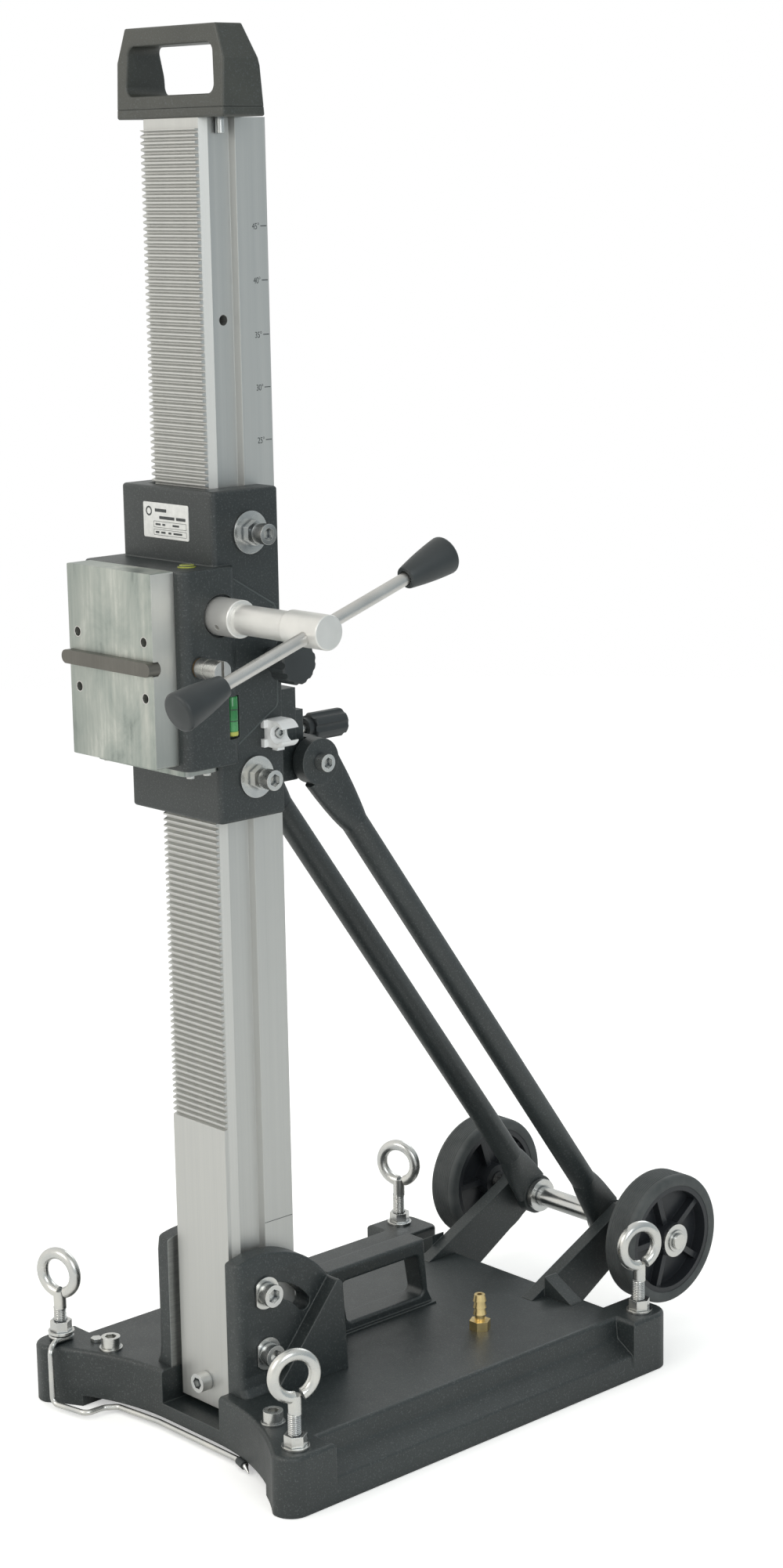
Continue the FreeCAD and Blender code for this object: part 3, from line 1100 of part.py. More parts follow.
def strut(name, side):
    """A tube from the axle up to the slider's pivot, its two ends pressed flat into eyes."""
    rise = d.strut_z.number - d.axle_z.number
    run = d.strut_y.number - d.axle_y.number
    length = math.hypot(rise, run)
    up = FreeCAD.Vector(0, run, rise).normalize()
    lean = FreeCAD.Rotation(FreeCAD.Vector(0, 0, 1), up)
    low_end, high_end = 62, 78
    tube = doc.addObject("Part::Cylinder", f"{name}_tube")
    bind(tube, Radius=d.strut_radius, Height=length - low_end - high_end + 4)
    start = up * (low_end - 2)
    place(tube, (side * d.strut_mid, d.axle_y + start.y, d.axle_z + start.z), lean)
    low_eye = rod(f"{name}_low_eye", d.eye_radius, "x", side_span(side, d.eye_in, d.eye_out),
                  (d.axle_y, d.axle_z))
    ear = rod(f"{name}_ear", d.ear_radius, "x", side_span(side, d.eye_in, d.strut_out),
              (d.strut_y, d.strut_z))
    eye_half = (d.eye_out - d.eye_in).number / 2
    ear_half = (d.strut_out - d.eye_in).number / 2
    low_shift = side * ((d.eye_out + d.eye_in).number / 2 - SIZES["strut_mid"])
    high_shift = side * ((d.strut_out + d.eye_in).number / 2 - SIZES["strut_mid"])
    low = flattened_end(f"{name}_low_end", (side * d.strut_mid, d.axle_y, d.axle_z), up, low_shift,
                        SIZES["eye_radius"], eye_half, low_end)
    high = flattened_end(f"{name}_high_end", (side * d.strut_mid, d.strut_y, d.strut_z), -up,
                         high_shift, SIZES["ear_radius"], ear_half, high_end)
    clear = rod(f"{name}_axle_bore", d.axle_radius + 0.08, "x", (-90, 90), (d.axle_y, d.axle_z))
    bolt = rod(f"{name}_bolt_bore", 5, "x", (-90, 90), (d.strut_y, d.strut_z))
    room = rod(f"{name}_collar_room", d.collar_radius + 1, "x", side_span(side, 20, d.eye_in),
               (d.axle_y, d.axle_z))
    node(name, cut(f"{name}_cut", fuse(f"{name}_solid", tube, low_eye, ear, low, high), clear,
                   bolt, room))


def strut_hardware():
    for name, side in (("strut_left", -1), ("strut_right", 1)):
        strut(name, side)
    centre = (d.strut_y, d.strut_z)
    node("strut_bolts", group("strut_bolt_set", *both_sides(
        lambda name, side: cap_screw(name, 5, d.strut_out - d.eye_in, 8, 10, "x",
                                     side * d.strut_out, centre, way=side),
        "strut_bolt_left", "strut_bolt_right")))


# ---------------------------------------------------------------- axle and wheels

def axle():
    centre = (d.axle_y, d.axle_z)
    middle = rod("axle_middle", d.axle_radius, "x", (-d.axle_step, d.axle_step), centre)
    ends = rod("axle_ends", d.axle_end_radius, "x", (-d.axle_half, d.axle_half), centre)
    node("wheel_axle", fuse("wheel_axle_solid", middle, ends))
    node("axle_collars", group("axle_collar_set", *both_sides(
        lambda name, side: ring(name, d.collar_radius, d.axle_radius, "x",
                                side_span(side, d.eye_in - d.collar_wide - 0.3, d.eye_in - 0.3),
                                centre), "axle_collar_left", "axle_collar_right")))
    washers = both_sides(
        lambda name, side: ring(name, d.hub_washer, d.axle_end_radius, "x",
                                side_span(side, d.hub_out + 0.4, d.hub_out + 2.9), centre),
        "hub_washer_left", "hub_washer_right")
    rings = both_sides(
        lambda name, side: ring(name, d.axle_end_radius + 3, d.axle_end_radius, "x",
                                side_span(side, d.hub_out + 2.9, d.hub_out + 4.4), centre),
        "axle_ring_left", "axle_ring_right")
    node("wheel_retainers", group("wheel_retainer_set", *washers, *rings))


def wheel(label, side):
    centre = (d.axle_y, d.axle_z)
    inner = d.wheel_radius - d.tyre_thick
    middle = (d.wheel_in + d.wheel_out) / 2
    tyre = ring(f"tyre_{label}_ring", d.wheel_radius, inner, "x",
                side_span(side, d.wheel_in, d.wheel_out), centre)
    tyre = smooth(f"tyre_{label}_soft", tyre, 4,
                  lambda edge, at: edge.Curve.TypeId == "Part::GeomCircle"
                  and edge.Curve.Radius > SIZES["wheel_radius"] - 1)
    node(f"tyre_{label}", tyre)
    felloe = ring(f"rim_{label}_ring", inner, inner - d.rim_ring, "x",
                  side_span(side, d.wheel_in + 1, d.wheel_out - 1), centre)
    hub = rod(f"rim_{label}_hub", d.hub_radius, "x", side_span(side, d.hub_in, d.hub_out), centre)
    web = rod(f"rim_{label}_web", inner - 1, "x", side_span(side, middle - 2, middle + 2), centre)
    spokes = []
    for k in range(5):
        spoke = doc.addObject("Part::Box", f"rim_{label}_spoke_{k}")
        bind(spoke, Length=d.wheel_out - d.wheel_in - 10, Width=6, Height=inner - 2)
        turn = FreeCAD.Rotation(FreeCAD.Vector(1, 0, 0), 72 * k + 18)
        edge = turn.multVec(FreeCAD.Vector(0, -3, 0))
        low_x = d.wheel_in + 5 if side > 0 else -d.wheel_out + 5
        place(spoke, (low_x, d.axle_y + edge.y, d.axle_z + edge.z), turn)
        spokes.append(spoke)
    bore = rod(f"rim_{label}_bore", d.axle_end_radius + 0.08, "x", (-160, 160), centre)
    node(f"rim_{label}", cut(f"rim_{label}_cut",
                             fuse(f"rim_{label}_solid", felloe, hub, web, *spokes), bore))


# ---------------------------------------------------------------- levelling screws and pointer

def eyebolt(label, x, y, facing):
    """A levelling screw whose top is bent round into an open eye, turned to face an angle."""
    spot = (x * d.screw_x, y * d.screw_y)
    shank = rod(f"eyebolt_{label}_shank", d.shank_radius, "z",
                (d.shank_low, d.eye_centre - d.eye_ring + 2), spot)
    eye = doc.addObject("Part::Torus", f"eyebolt_{label}_eye")
    bind(eye, Radius1=d.eye_ring, Radius2=d.eye_bar)
    eye.Angle3 = 338
    stand = FreeCAD.Rotation(FreeCAD.Vector(0, 0, 1), facing) * FreeCAD.Rotation(
        FreeCAD.Vector(1, 0, 0), 90) * FreeCAD.Rotation(FreeCAD.Vector(0, 0, 1), -68)
    place(eye, (*spot, d.eye_centre), stand)
    node(f"eyebolt_{label}", fuse(f"eyebolt_{label}_solid", shank, eye))


def levelling(washers):
    nuts = []
    for label, x, y, facing in (("front_left", -1, -1, 15), ("front_right", 1, -1, 72),
                                ("rear_left", -1, 1, 18), ("rear_right", 1, 1, 78)):
        eyebolt(label, x, y, facing)
        spot = (x * d.screw_x, y * d.screw_y)
        lift = d.wire_seat if label == "front_left" else size(0)
        seat = d.base_top + lift + d.washer_high
        nuts.append(cut(f"locknut_{label}",
                        hexagon(f"locknut_{label}_hex", d.nut_flats, "z",
                                (seat, seat + d.nut_high), spot),
                        rod(f"locknut_{label}_bore", d.screw_hole, "z", (50, 80), spot)))
        washers.append(ring(f"screw_washer_{label}", d.washer_radius, d.screw_hole, "z",
                            (d.base_top + lift, seat), spot))
    node("locknuts", group("locknut_set", *nuts))
    node("base_washers", group("base_washer_set", *washers))


def round_path(points, radius):
    """Straight runs joined by tangent arcs, as one wire."""
    spots = [FreeCAD.Vector(*point) for point in points]
    edges, last = [], spots[0]
    for before, corner, after in zip(spots, spots[1:], spots[2:]):
        into = (corner - before).normalize()
        out = (after - corner).normalize()
        half_turn = math.acos(max(-1, min(1, into.dot(out)))) / 2
        back = min(radius * math.tan(half_turn), 0.45 * (corner - before).Length,
                   0.45 * (after - corner).Length)
        first, final = corner - into * back, corner + out * back
        inward = (out - into).normalize()
        bend = back / math.tan(half_turn)
        middle = corner + inward * (bend / math.cos(half_turn) - bend)
        edges.append(Part.LineSegment(last, first).toShape())
        edges.append(Part.Arc(first, middle, final).toShape())
        last = final
    edges.append(Part.LineSegment(last, spots[-1]).toShape())
    return Part.Wire(edges)


def bent_wire(name, points, wire_radius, bend):
    """A round bar that follows a route."""
    path = round_path(points, bend)
    start = FreeCAD.Vector(*points[0])
    section = Part.Wire(Part.makeCircle(wire_radius, start,
                                        FreeCAD.Vector(*points[1]) - start))
    return solid_feature(name, path.makePipeShell([section], True, False), (0, 0, 0))


def pointer():
    """The wire that swings out from the front left screw to mark the hole's centre."""
    low = SIZES["wire_low"]
    high = SIZES["base_top"] + SIZES["wire_radius"] + 0.5
    loop = SIZES["wire_loop"]
    start_x = loop - SIZES["screw_x"]
    route = [(start_x, -SIZES["screw_y"], high), (start_x, -233, high), (-150, -247, high),
             (-148, -248, low), (-128, -244, low), (-107, -240, low), (-106, -220, low),
             (-98, -209, low), (-44, -202.5, low), (70, -202.5, low), (86, -207, low)]
    loop_ring = doc.addObject("Part::Torus", "wire_loop_ring")
    bind(loop_ring, Radius1=d.wire_loop, Radius2=d.wire_radius + 0.15)
    place(loop_ring, (-d.screw_x, -d.screw_y, d.base_top + d.wire_radius + 0.5))
    wire = bent_wire("wire_route", route, SIZES["wire_radius"], 7)
    end = FreeCAD.Vector(*route[-1])
    run = (end - FreeCAD.Vector(*route[-2])).normalize()
    lean = FreeCAD.Rotation(FreeCAD.Vector(0, 0, 1), run)
    tip_lean = FreeCAD.Rotation(FreeCAD.Vector(0, 0, 1), run * 2 - FreeCAD.Vector(0, 0, 1))
    sleeve_start = end - run * 14
    sleeve = doc.addObject("Part::Cylinder", "pointer_sleeve_bar")
    bind(sleeve, Radius=3.9, Height=12)
    place(sleeve, tuple(sleeve_start), lean)
    core = doc.addObject("Part::Cylinder", "pointer_sleeve_core")
    bind(core, Radius=d.wire_radius, Height=14)
    place(core, tuple(sleeve_start), lean)
    node("pointer_sleeve", cut("pointer_sleeve_cut", sleeve, core))
    tip = doc.addObject("Part::Cone", "pointer_tip_cone")
    bind(tip, Radius1=2.6, Radius2=0.4, Height=9)
    place(tip, tuple(end - run), tip_lean)
    node("pointer_wire", fuse("pointer_wire_solid", wire, loop_ring, tip))


# ---------------------------------------------------------------- build and export

small_washers = base_hardware()
pivot_hardware()
column()
column_hardware()
top_handle()
carriage_housing()
carriage_hardware()
motor_plate()
crank()
second_shaft()
clamp()
carriage_trim()
slider()
strut_hardware()
axle()
wheel("left", -1)
wheel("right", 1)
levelling(small_washers)
pointer()
doc.recompute()

failed = [thing.Name for thing in doc.Objects if {"Invalid", "Error"} & set(thing.State)]
broken = [label for label, thing in nodes.items()
          if thing.Shape.isNull() or not thing.Shape.isValid() or not thing.Shape.Solids]
if failed or broken:
    raise RuntimeError(f"objects in error: {failed}; sub-parts without a good shape: {broken}")

os.makedirs("parts", exist_ok=True)
for label, thing in nodes.items():
    thing.Shape.exportStep(os.path.join("parts", f"{label}.step"))
    print(label, len(thing.Shape.Solids), round(thing.Shape.Volume / 1000, 2))
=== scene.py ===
import json
import math

import bmesh
import bpy
from mathutils import Matrix, Vector


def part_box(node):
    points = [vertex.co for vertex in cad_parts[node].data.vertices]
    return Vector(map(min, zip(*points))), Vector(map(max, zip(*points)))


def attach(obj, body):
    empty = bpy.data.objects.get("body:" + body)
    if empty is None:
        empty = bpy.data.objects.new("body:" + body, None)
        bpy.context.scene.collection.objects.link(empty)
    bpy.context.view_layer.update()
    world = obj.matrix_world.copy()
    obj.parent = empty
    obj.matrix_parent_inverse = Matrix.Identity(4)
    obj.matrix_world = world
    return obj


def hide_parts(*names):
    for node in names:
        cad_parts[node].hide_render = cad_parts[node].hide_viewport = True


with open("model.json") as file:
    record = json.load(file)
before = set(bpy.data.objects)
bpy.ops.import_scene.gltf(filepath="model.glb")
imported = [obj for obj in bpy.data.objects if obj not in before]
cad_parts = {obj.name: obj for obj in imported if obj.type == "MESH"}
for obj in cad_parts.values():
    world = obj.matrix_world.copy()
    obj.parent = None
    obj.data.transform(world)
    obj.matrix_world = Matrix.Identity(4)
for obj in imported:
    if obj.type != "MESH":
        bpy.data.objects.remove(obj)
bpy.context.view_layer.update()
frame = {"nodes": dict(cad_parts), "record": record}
nodes = frame["nodes"]

# Places and sizes are in millimetres in the shared frame, and materials work in metres.
MM = 0.001
TICKS = {25: 912.5, 30: 957.6, 35: 1002.4, 40: 1048.3, 45: 1093.7}
TICK_GAP, TICK_LONG, TICK_HALF = 1.1, 6.8, 0.38
NUMBER_SIZE, NUMBER_GAP, NUMBER_DROP, NUMBER_WIDTH = 7.4, 1.1, 2.6, 0.82
SCRIBE_Z, SCRIBE_LONG, SCRIBE_HALF = 206, 33, 0.3
LABEL, LABEL_FRONT = (-31, 831, 31, 861.5), 193.7
FACET_X, RIDGE_RADIUS = 66.1, 0.9
PLATE_HOLE_X, PLATE_HOLE_Z, PLATE_HOLE_RADIUS = 46.2, (705.5, 753.5), 4.0
CHEEK_WALL_X = 42.1
THREAD_TOP, THREAD_CREST, THREAD_ROOT, THREAD_PITCH = 88, 5.98, 5.2, 1.75


# ---------------------------------------------------------------- node helpers

class Nodes:
    """A node tree under construction. A source is a pair: a node and one of its outputs."""

    def __init__(self, tree):
        self.tree = tree
        tree.nodes.clear()

    def add(self, kind, **settings):
        made = self.tree.nodes.new(kind)
        for key, value in settings.items():
            setattr(made, key, value)
        return made

    def feed(self, source, node, into):
        """Link a source to an input, or set the input where the source is a plain value."""
        if isinstance(source, tuple) and hasattr(source[0], "outputs"):
            self.tree.links.new(source[0].outputs[source[1]], node.inputs[into])
        else:
            node.inputs[into].default_value = source

    def between(self, source, low, high, start=0.0, end=1.0):
        """Map a value from start..end to low..high."""
        node = self.add("ShaderNodeMapRange")
        for key, value in (("From Min", start), ("From Max", end), ("To Min", low),
                           ("To Max", high), ("Value", source)):
            self.feed(value, node, key)
        return node, "Result"

    def ramp(self, source, stops):
        """Map a value to colours: stops are (position, colour)."""
        node = self.add("ShaderNodeValToRGB")
        self.feed(source, node, "Fac")
        while len(node.color_ramp.elements) < len(stops):
            node.color_ramp.elements.new(0.5)
        for element, (position, colour) in zip(node.color_ramp.elements, stops):
            element.position = position
            element.color = (*colour, 1.0)
        return node, "Color"

    def math(self, operation, one, two=0.0):
        node = self.add("ShaderNodeMath", operation=operation)
        self.feed(one, node, 0)
        self.feed(two, node, 1)
        return node, "Value"

    def vector(self, operation, one, two=None):
        """Vector arithmetic: the caller picks the output."""
        node = self.add("ShaderNodeVectorMath", operation=operation)
        self.feed(one, node, 0)
        if two is not None:
            self.feed(two, node, 1)
        return node

    def blend_shaders(self, factor, one, two):
        node = self.add("ShaderNodeMixShader")
        self.feed(factor, node, "Fac")
        self.feed(one, node, 1)
        self.feed(two, node, 2)
        return node, "Shader"


class Shader(Nodes):
    """One procedural material."""

    def __init__(self, name):
        self.material = bpy.data.materials.new(name)
        self.material.use_nodes = True
        super().__init__(self.material.node_tree)
        self.output = self.add("ShaderNodeOutputMaterial")
        self.surface = self.add("ShaderNodeBsdfPrincipled")
        self.feed((self.surface, "BSDF"), self.output, "Surface")
        self.place = (self.add("ShaderNodeTexCoord"), "Object")

    def set(self, **values):
        """Set sockets of the surface shader that are the same all over."""
        for key, value in values.items():
            self.feed(value, self.surface, key.replace("_", " "))

    def to(self, source, socket):
        self.feed(source, self.surface, socket)

    def noise(self, scale, detail=4.0, rough=0.55, stretch=(1, 1, 1), distort=0.0):
        """Noise over the object's own coordinates, which stretch turns into a grain."""
        mapping = self.add("ShaderNodeMapping")
        self.feed(stretch, mapping, "Scale")
        self.feed(self.place, mapping, "Vector")
        node = self.add("ShaderNodeTexNoise")
        for key, value in (("Scale", scale), ("Detail", detail), ("Roughness", rough),
                           ("Distortion", distort), ("Vector", (mapping, "Vector"))):
            self.feed(value, node, key)
        return node, "Fac"

    def parts(self, source):
        """A node that splits a vector into X, Y and Z."""
        node = self.add("ShaderNodeSeparateXYZ")
        self.feed(source, node, "Vector")
        return node

    def facing(self):
        """The flat face's own direction."""
        return self.add("ShaderNodeNewGeometry"), "Normal"

    def mix(self, factor, one, two):
        """Blend two colours by a factor."""
        node = self.add("ShaderNodeMix", data_type="RGBA")
        self.feed(factor, node, "Factor")
        for key, colour in ((6, one), (7, two)):
            plain = not hasattr(colour[0], "outputs")
            self.feed((*colour, 1.0) if plain else colour, node, key)
        return node, 2

    def edge_normal(self, radius):
        """A normal that runs smoothly over sharp edges."""
        node = self.add("ShaderNodeBevel", samples=6)
        self.feed(radius, node, "Radius")
        return node, "Normal"

    def edges(self, radius):
        """One at sharp edges and nought on flat faces."""
        same = self.vector("DOT_PRODUCT", self.edge_normal(radius), self.facing())
        return self.between((same, "Value"), 1.0, 0.0, 0.72, 0.995)

    def bump(self, source, distance, strength, edge_radius=None):
        """Fine relief, over edges that look rounded where a radius is given."""
        node = self.add("ShaderNodeBump")
        for key, value in (("Distance", distance), ("Strength", strength), ("Height", source)):
            self.feed(value, node, key)
        if edge_radius:
            self.feed(self.edge_normal(edge_radius), node, "Normal")
        self.to((node, "Normal"), "Normal")


# ---------------------------------------------------------------- materials

def powder_coat(name, tint_and_painted_light=(1, 1, 1)):
    """Fine-textured dark grey coat with a painted highlight along its edges and pale wear in
    patches on them.
    """
    m = Shader(name)
    # The tint scales the coat's tones: it warms the hue, and lightening them paints light onto
    # the whole part.
    dark, light = (tuple(part * more for part, more in zip(shade, tint_and_painted_light))
                   for shade in ((0.012, 0.0165, 0.0175), (0.022, 0.0295, 0.0305)))
    colour = m.ramp(m.noise(7, 4, 0.6), [(0.32, dark), (0.68, light)])
    specks = m.between(m.noise(620, 2, 0.7), 0.0, 0.85, 0.56, 0.70)
    colour = m.mix(specks, colour, (0.080, 0.090, 0.090))
    # painted highlight: a broad lighter band along every edge stands in for light catching the
    # rounded edges
    soft = m.between(m.edges(0.0022), 0.0, 0.45)
    colour = m.mix(soft, colour, (0.120, 0.135, 0.130))
    worn = m.math("MULTIPLY", m.edges(0.0009),
                  m.between(m.noise(60, 4), 0.0, 0.5, 0.42, 0.75))
    m.to(m.mix(worn, colour, (0.19, 0.20, 0.19)), "Base Color")
    m.to(m.between(m.noise(35, 5), 0.33, 0.50), "Roughness")
    m.bump(m.noise(1300, 3, 0.65), 0.00022, 0.6, 0.0018)
    m.set(Specular_IOR_Level=0.75)
    return m


def milled_cheeks():
    """The coat, with bare milled metal on the two inner walls beside the column."""
    m = powder_coat("coat_and_milled")
    aside = m.math("ABSOLUTE", (m.parts(m.place), "X"))
    sideways = m.math("ABSOLUTE", (m.parts(m.facing()), "X"))
    bare = m.math("MULTIPLY", m.math("LESS_THAN", aside, CHEEK_WALL_X * MM),
                  m.math("GREATER_THAN", sideways, 0.9))
    coated = m.surface.inputs["Base Color"].links[0].from_node
    lines = m.noise(1.0, 4, 0.7, (40, 60, 900))
    metal = m.ramp(lines, [(0.3, (0.30, 0.31, 0.31)), (0.7, (0.46, 0.47, 0.46))])
    m.to(m.mix(bare, (coated, 2), metal), "Base Color")
    m.to(bare, "Metallic")
    return m


def brushed_extrusion():
    """Matt anodised aluminium, drawn lengthwise."""
    m = Shader("extrusion")
    grain = m.noise(1.0, 3, 0.6, (900, 900, 4))
    broad = m.noise(1.0, 2, 0.5, (120, 120, 0.8))
    both = m.math("ADD", m.math("MULTIPLY", grain, 0.5), m.math("MULTIPLY", broad, 0.5))
    m.to(m.ramp(both, [(0.25, (0.575, 0.58, 0.565)), (0.75, (0.665, 0.665, 0.645))]),
         "Base Color")
    m.to(m.between(both, 0.40, 0.54, 0.3, 0.7), "Roughness")
    m.bump(grain, 0.00006, 0.5, 0.0007)
    m.set(Metallic=0.9)
    return m


def machined_plate():
    """Milled aluminium, clouded by handling, brighter down its rows of holes, with a painted
    reflection lightening its sawn ends towards the top.
    """
    m = Shader("machined_plate")
    blotch = m.noise(22, 7, 0.66, (1, 1, 0.5), 0.9)
    smear = m.noise(9, 5, 0.6, (1.5, 1, 0.6), 1.8)
    lines = m.noise(1.0, 4, 0.7, (260, 260, 6))
    cloud = m.math("ADD", m.math("MULTIPLY", blotch, 0.55), m.math("MULTIPLY", smear, 0.45))
    shade = m.math("ADD", m.math("MULTIPLY", cloud, 0.8), m.math("MULTIPLY", lines, 0.2))
    metal = m.ramp(shade, [(0.38, (0.24, 0.27, 0.25)), (0.46, (0.38, 0.42, 0.39)),
                           (0.55, (0.49, 0.52, 0.48)), (0.64, (0.72, 0.73, 0.68))])
    part = m.parts(m.place)
    from_middle = m.math("ABSOLUTE", (part, "X"))
    from_holes = m.math("ABSOLUTE", m.math("SUBTRACT", from_middle, PLATE_HOLE_X * MM))
    band = m.math("MULTIPLY", m.between(from_holes, 1.0, 0.0, 0.0005, 0.0070),
                  m.between(m.noise(18, 4), 0.0, 0.35, 0.35, 0.65))
    band = m.math("MULTIPLY", band, m.between((part, "X"), 0.2, 1.0, -0.03, 0.03))
    metal = m.mix(band, metal, (0.74, 0.73, 0.67))
    left = m.between((part, "X"), 0.45, 0.0, -0.058, -0.010)
    metal = m.mix(left, metal, (0.30, 0.33, 0.31))
    sideways = m.math("ABSOLUTE", (m.parts(m.facing()), "X"))
    end = m.math("MULTIPLY", m.math("GREATER_THAN", sideways, 0.7), 0.75)
    # The sawn ends have their own paler tone, lightened from bottom to top as a painted
    # reflection.
    sawn_end_with_painted_reflection = m.ramp(m.between((part, "Z"), 0.0, 1.0, 0.655, 0.800),
                  [(0.0, (0.44, 0.45, 0.43)), (1.0, (0.86, 0.84, 0.80))])
    m.to(m.mix(end, metal, sawn_end_with_painted_reflection), "Base Color")
    m.to(m.between(shade, 0.28, 0.52, 0.3, 0.7), "Roughness")
    m.bump(lines, 0.00005, 0.5, 0.0007)
    m.set(Metallic=0.85)
    return m


def hub_steel():
    """Turned steel whose tool marks run round the crank's axis."""
    m = Shader("hub_steel")
    low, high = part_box("crank_hub")
    centre = tuple((a + b) / 2 for a, b in zip(low, high))
    away = m.vector("SUBTRACT", m.place, centre)
    flat = m.vector("MULTIPLY", (away, "Vector"), (0, 1, 1))
    reach = m.vector("LENGTH", (flat, "Vector"))
    track = m.math("ADD", (reach, "Value"), (m.parts(m.place), "X"))
    spread = m.add("ShaderNodeCombineXYZ")
    m.feed(track, spread, "X")
    rings = m.add("ShaderNodeTexNoise")
    for key, value in (("Scale", 1500), ("Detail", 3), ("Vector", (spread, "Vector"))):
        m.feed(value, rings, key)
    m.to(m.ramp(m.noise(30, 3), [(0.3, (0.76, 0.755, 0.73)), (0.7, (0.87, 0.86, 0.83))]),
         "Base Color")
    m.to(m.between((rings, "Fac"), 0.28, 0.44, 0.3, 0.7), "Roughness")
    m.bump((rings, "Fac"), 0.00005, 0.6, 0.0004)
    around = m.add("ShaderNodeTangent", direction_type="RADIAL", axis="X")
    m.to((around, "Tangent"), "Tangent")
    m.set(Metallic=0.6, Anisotropic=0.6)
    return m


def turned_steel(name, colour, rough):
    """Plain steel with fine marks across the x axis."""
    m = Shader(name)
    rings = m.noise(1.0, 3, 0.6, (900, 40, 40))
    lighter = tuple(min(1.0, c * 1.18) for c in colour)
    m.to(m.ramp(m.noise(30, 3), [(0.3, colour), (0.7, lighter)]), "Base Color")
    m.to(m.between(rings, rough - 0.07, rough + 0.09, 0.3, 0.7), "Roughness")
    m.bump(rings, 0.00004, 0.5, 0.0004)
    m.set(Metallic=1.0)
    return m


def zinc_plate():
    """Bright zinc plating, smooth and a little clouded, with painted shade darkening its
    recesses such as the hexagon sockets.
    """
    m = Shader("zinc")
    cloud = m.noise(45, 3, 0.5)
    metal = m.ramp(cloud, [(0.3, (0.62, 0.63, 0.63)), (0.7, (0.78, 0.77, 0.73))])
    # painted shade: ambient occlusion darkens the colour in sockets and other recesses
    shade = m.add("ShaderNodeAmbientOcclusion", samples=8)
    m.feed(0.004, shade, "Distance")
    painted_recess_shade = m.between((shade, "AO"), 1.0, 0.0, 0.25, 0.85)
    m.to(m.mix(painted_recess_shade, metal, (0.03, 0.05, 0.07)), "Base Color")
    m.to(m.between(cloud, 0.20, 0.32, 0.3, 0.7), "Roughness")
    m.bump(m.noise(600, 2), 0.00001, 0.3, 0.0004)
    m.set(Metallic=1.0)
    return m


def yellow_metal(name, colour, rough):
    """Bronze or brass, darker in patches."""
    m = Shader(name)
    darker = tuple(c * 0.78 for c in colour)
    m.to(m.ramp(m.noise(90, 4), [(0.3, darker), (0.7, colour)]), "Base Color")
    m.to(m.between(m.noise(500, 2), rough - 0.05, rough + 0.1), "Roughness")
    m.bump(m.noise(700, 2), 0.00003, 0.4, 0.0003)
    m.set(Metallic=1.0)
    return m


def moulded(name, colour, rough, grain=2200):
    """Moulded plastic or rubber, lighter in patches, with a fine grain."""
    m = Shader(name)
    lighter = tuple(min(0.93, c * 1.35) for c in colour)
    m.to(m.ramp(m.noise(25, 3), [(0.3, colour), (0.75, lighter)]), "Base Color")
    m.to(m.between(m.noise(60, 4), rough - 0.06, rough + 0.08), "Roughness")
    m.bump(m.noise(grain, 2), 0.00006, 0.5, 0.0006)
    return m


def tyre_rubber():
    """Dusty grey-black rubber."""
    m = Shader("tyre_rubber")
    dust = m.noise(45, 5, 0.6)
    m.to(m.ramp(dust, [(0.3, (0.048, 0.055, 0.056)), (0.7, (0.090, 0.098, 0.098))]),
         "Base Color")
    m.to(m.between(dust, 0.5, 0.72), "Roughness")
    m.bump(m.noise(900, 3), 0.00012, 0.6, 0.0008)
    return m


def vial(name, colour, pale):
    """Glossy tinted plastic that lets some light through."""
    m = Shader(name)
    m.to(m.ramp(m.noise(40, 2), [(0.3, colour), (0.75, pale)]), "Base Color")
    m.bump(m.noise(300, 1), 0.00002, 0.3, 0.0005)
    m.set(Roughness=0.08, Transmission_Weight=0.35, IOR=1.46, Coat_Weight=0.6)
    return m


def label_foil():
    """Pale foil, slightly mottled."""
    m = Shader("label_foil")
    mottle = m.noise(220, 4)
    m.to(m.ramp(mottle, [(0.3, (0.72, 0.725, 0.71)), (0.7, (0.86, 0.86, 0.84))]), "Base Color")
    m.to(m.between(mottle, 0.34, 0.46), "Roughness")
    m.bump(m.noise(500, 2), 0.00002, 0.3, 0.0003)
    return m


def ink():
    """Dark print, worn thin in places."""
    m = Shader("ink")
    wear = m.noise(700, 3, 0.7)
    m.to(m.ramp(wear, [(0.35, (0.020, 0.024, 0.026)), (0.75, (0.10, 0.11, 0.11))]),
         "Base Color")
    m.to(m.between(wear, 0.42, 0.62), "Roughness")
    return m


coat = powder_coat("powder_coat").material
# painted light: the top handle gets a warmer copy of the coat that is lightened to stand in for
# the light on its front
lit_handle_coat = powder_coat("lit_handle_coat", (2.5, 1.95, 1.55)).material
cheek_coat = milled_cheeks().material
# painted highlight: a lighter coat for the facet ridges stands in for light along the facet's
# edges
ridge_highlight_coat = moulded("ridge_painted_highlight", (0.060, 0.072, 0.072), 0.42, 900).material
hub_metal = hub_steel().material
steel = turned_steel("satin_steel", (0.60, 0.59, 0.57), 0.3).material
zinc = zinc_plate().material
knob_plastic = moulded("knob_plastic", (0.031, 0.036, 0.038), 0.42).material
tyre = tyre_rubber().material
green_vial = vial("green_vial", (0.02, 0.26, 0.06), (0.10, 0.55, 0.18)).material
yellow_vial = vial("yellow_vial", (0.62, 0.70, 0.05), (0.85, 0.88, 0.20)).material
foil = label_foil().material
print_ink = ink().material

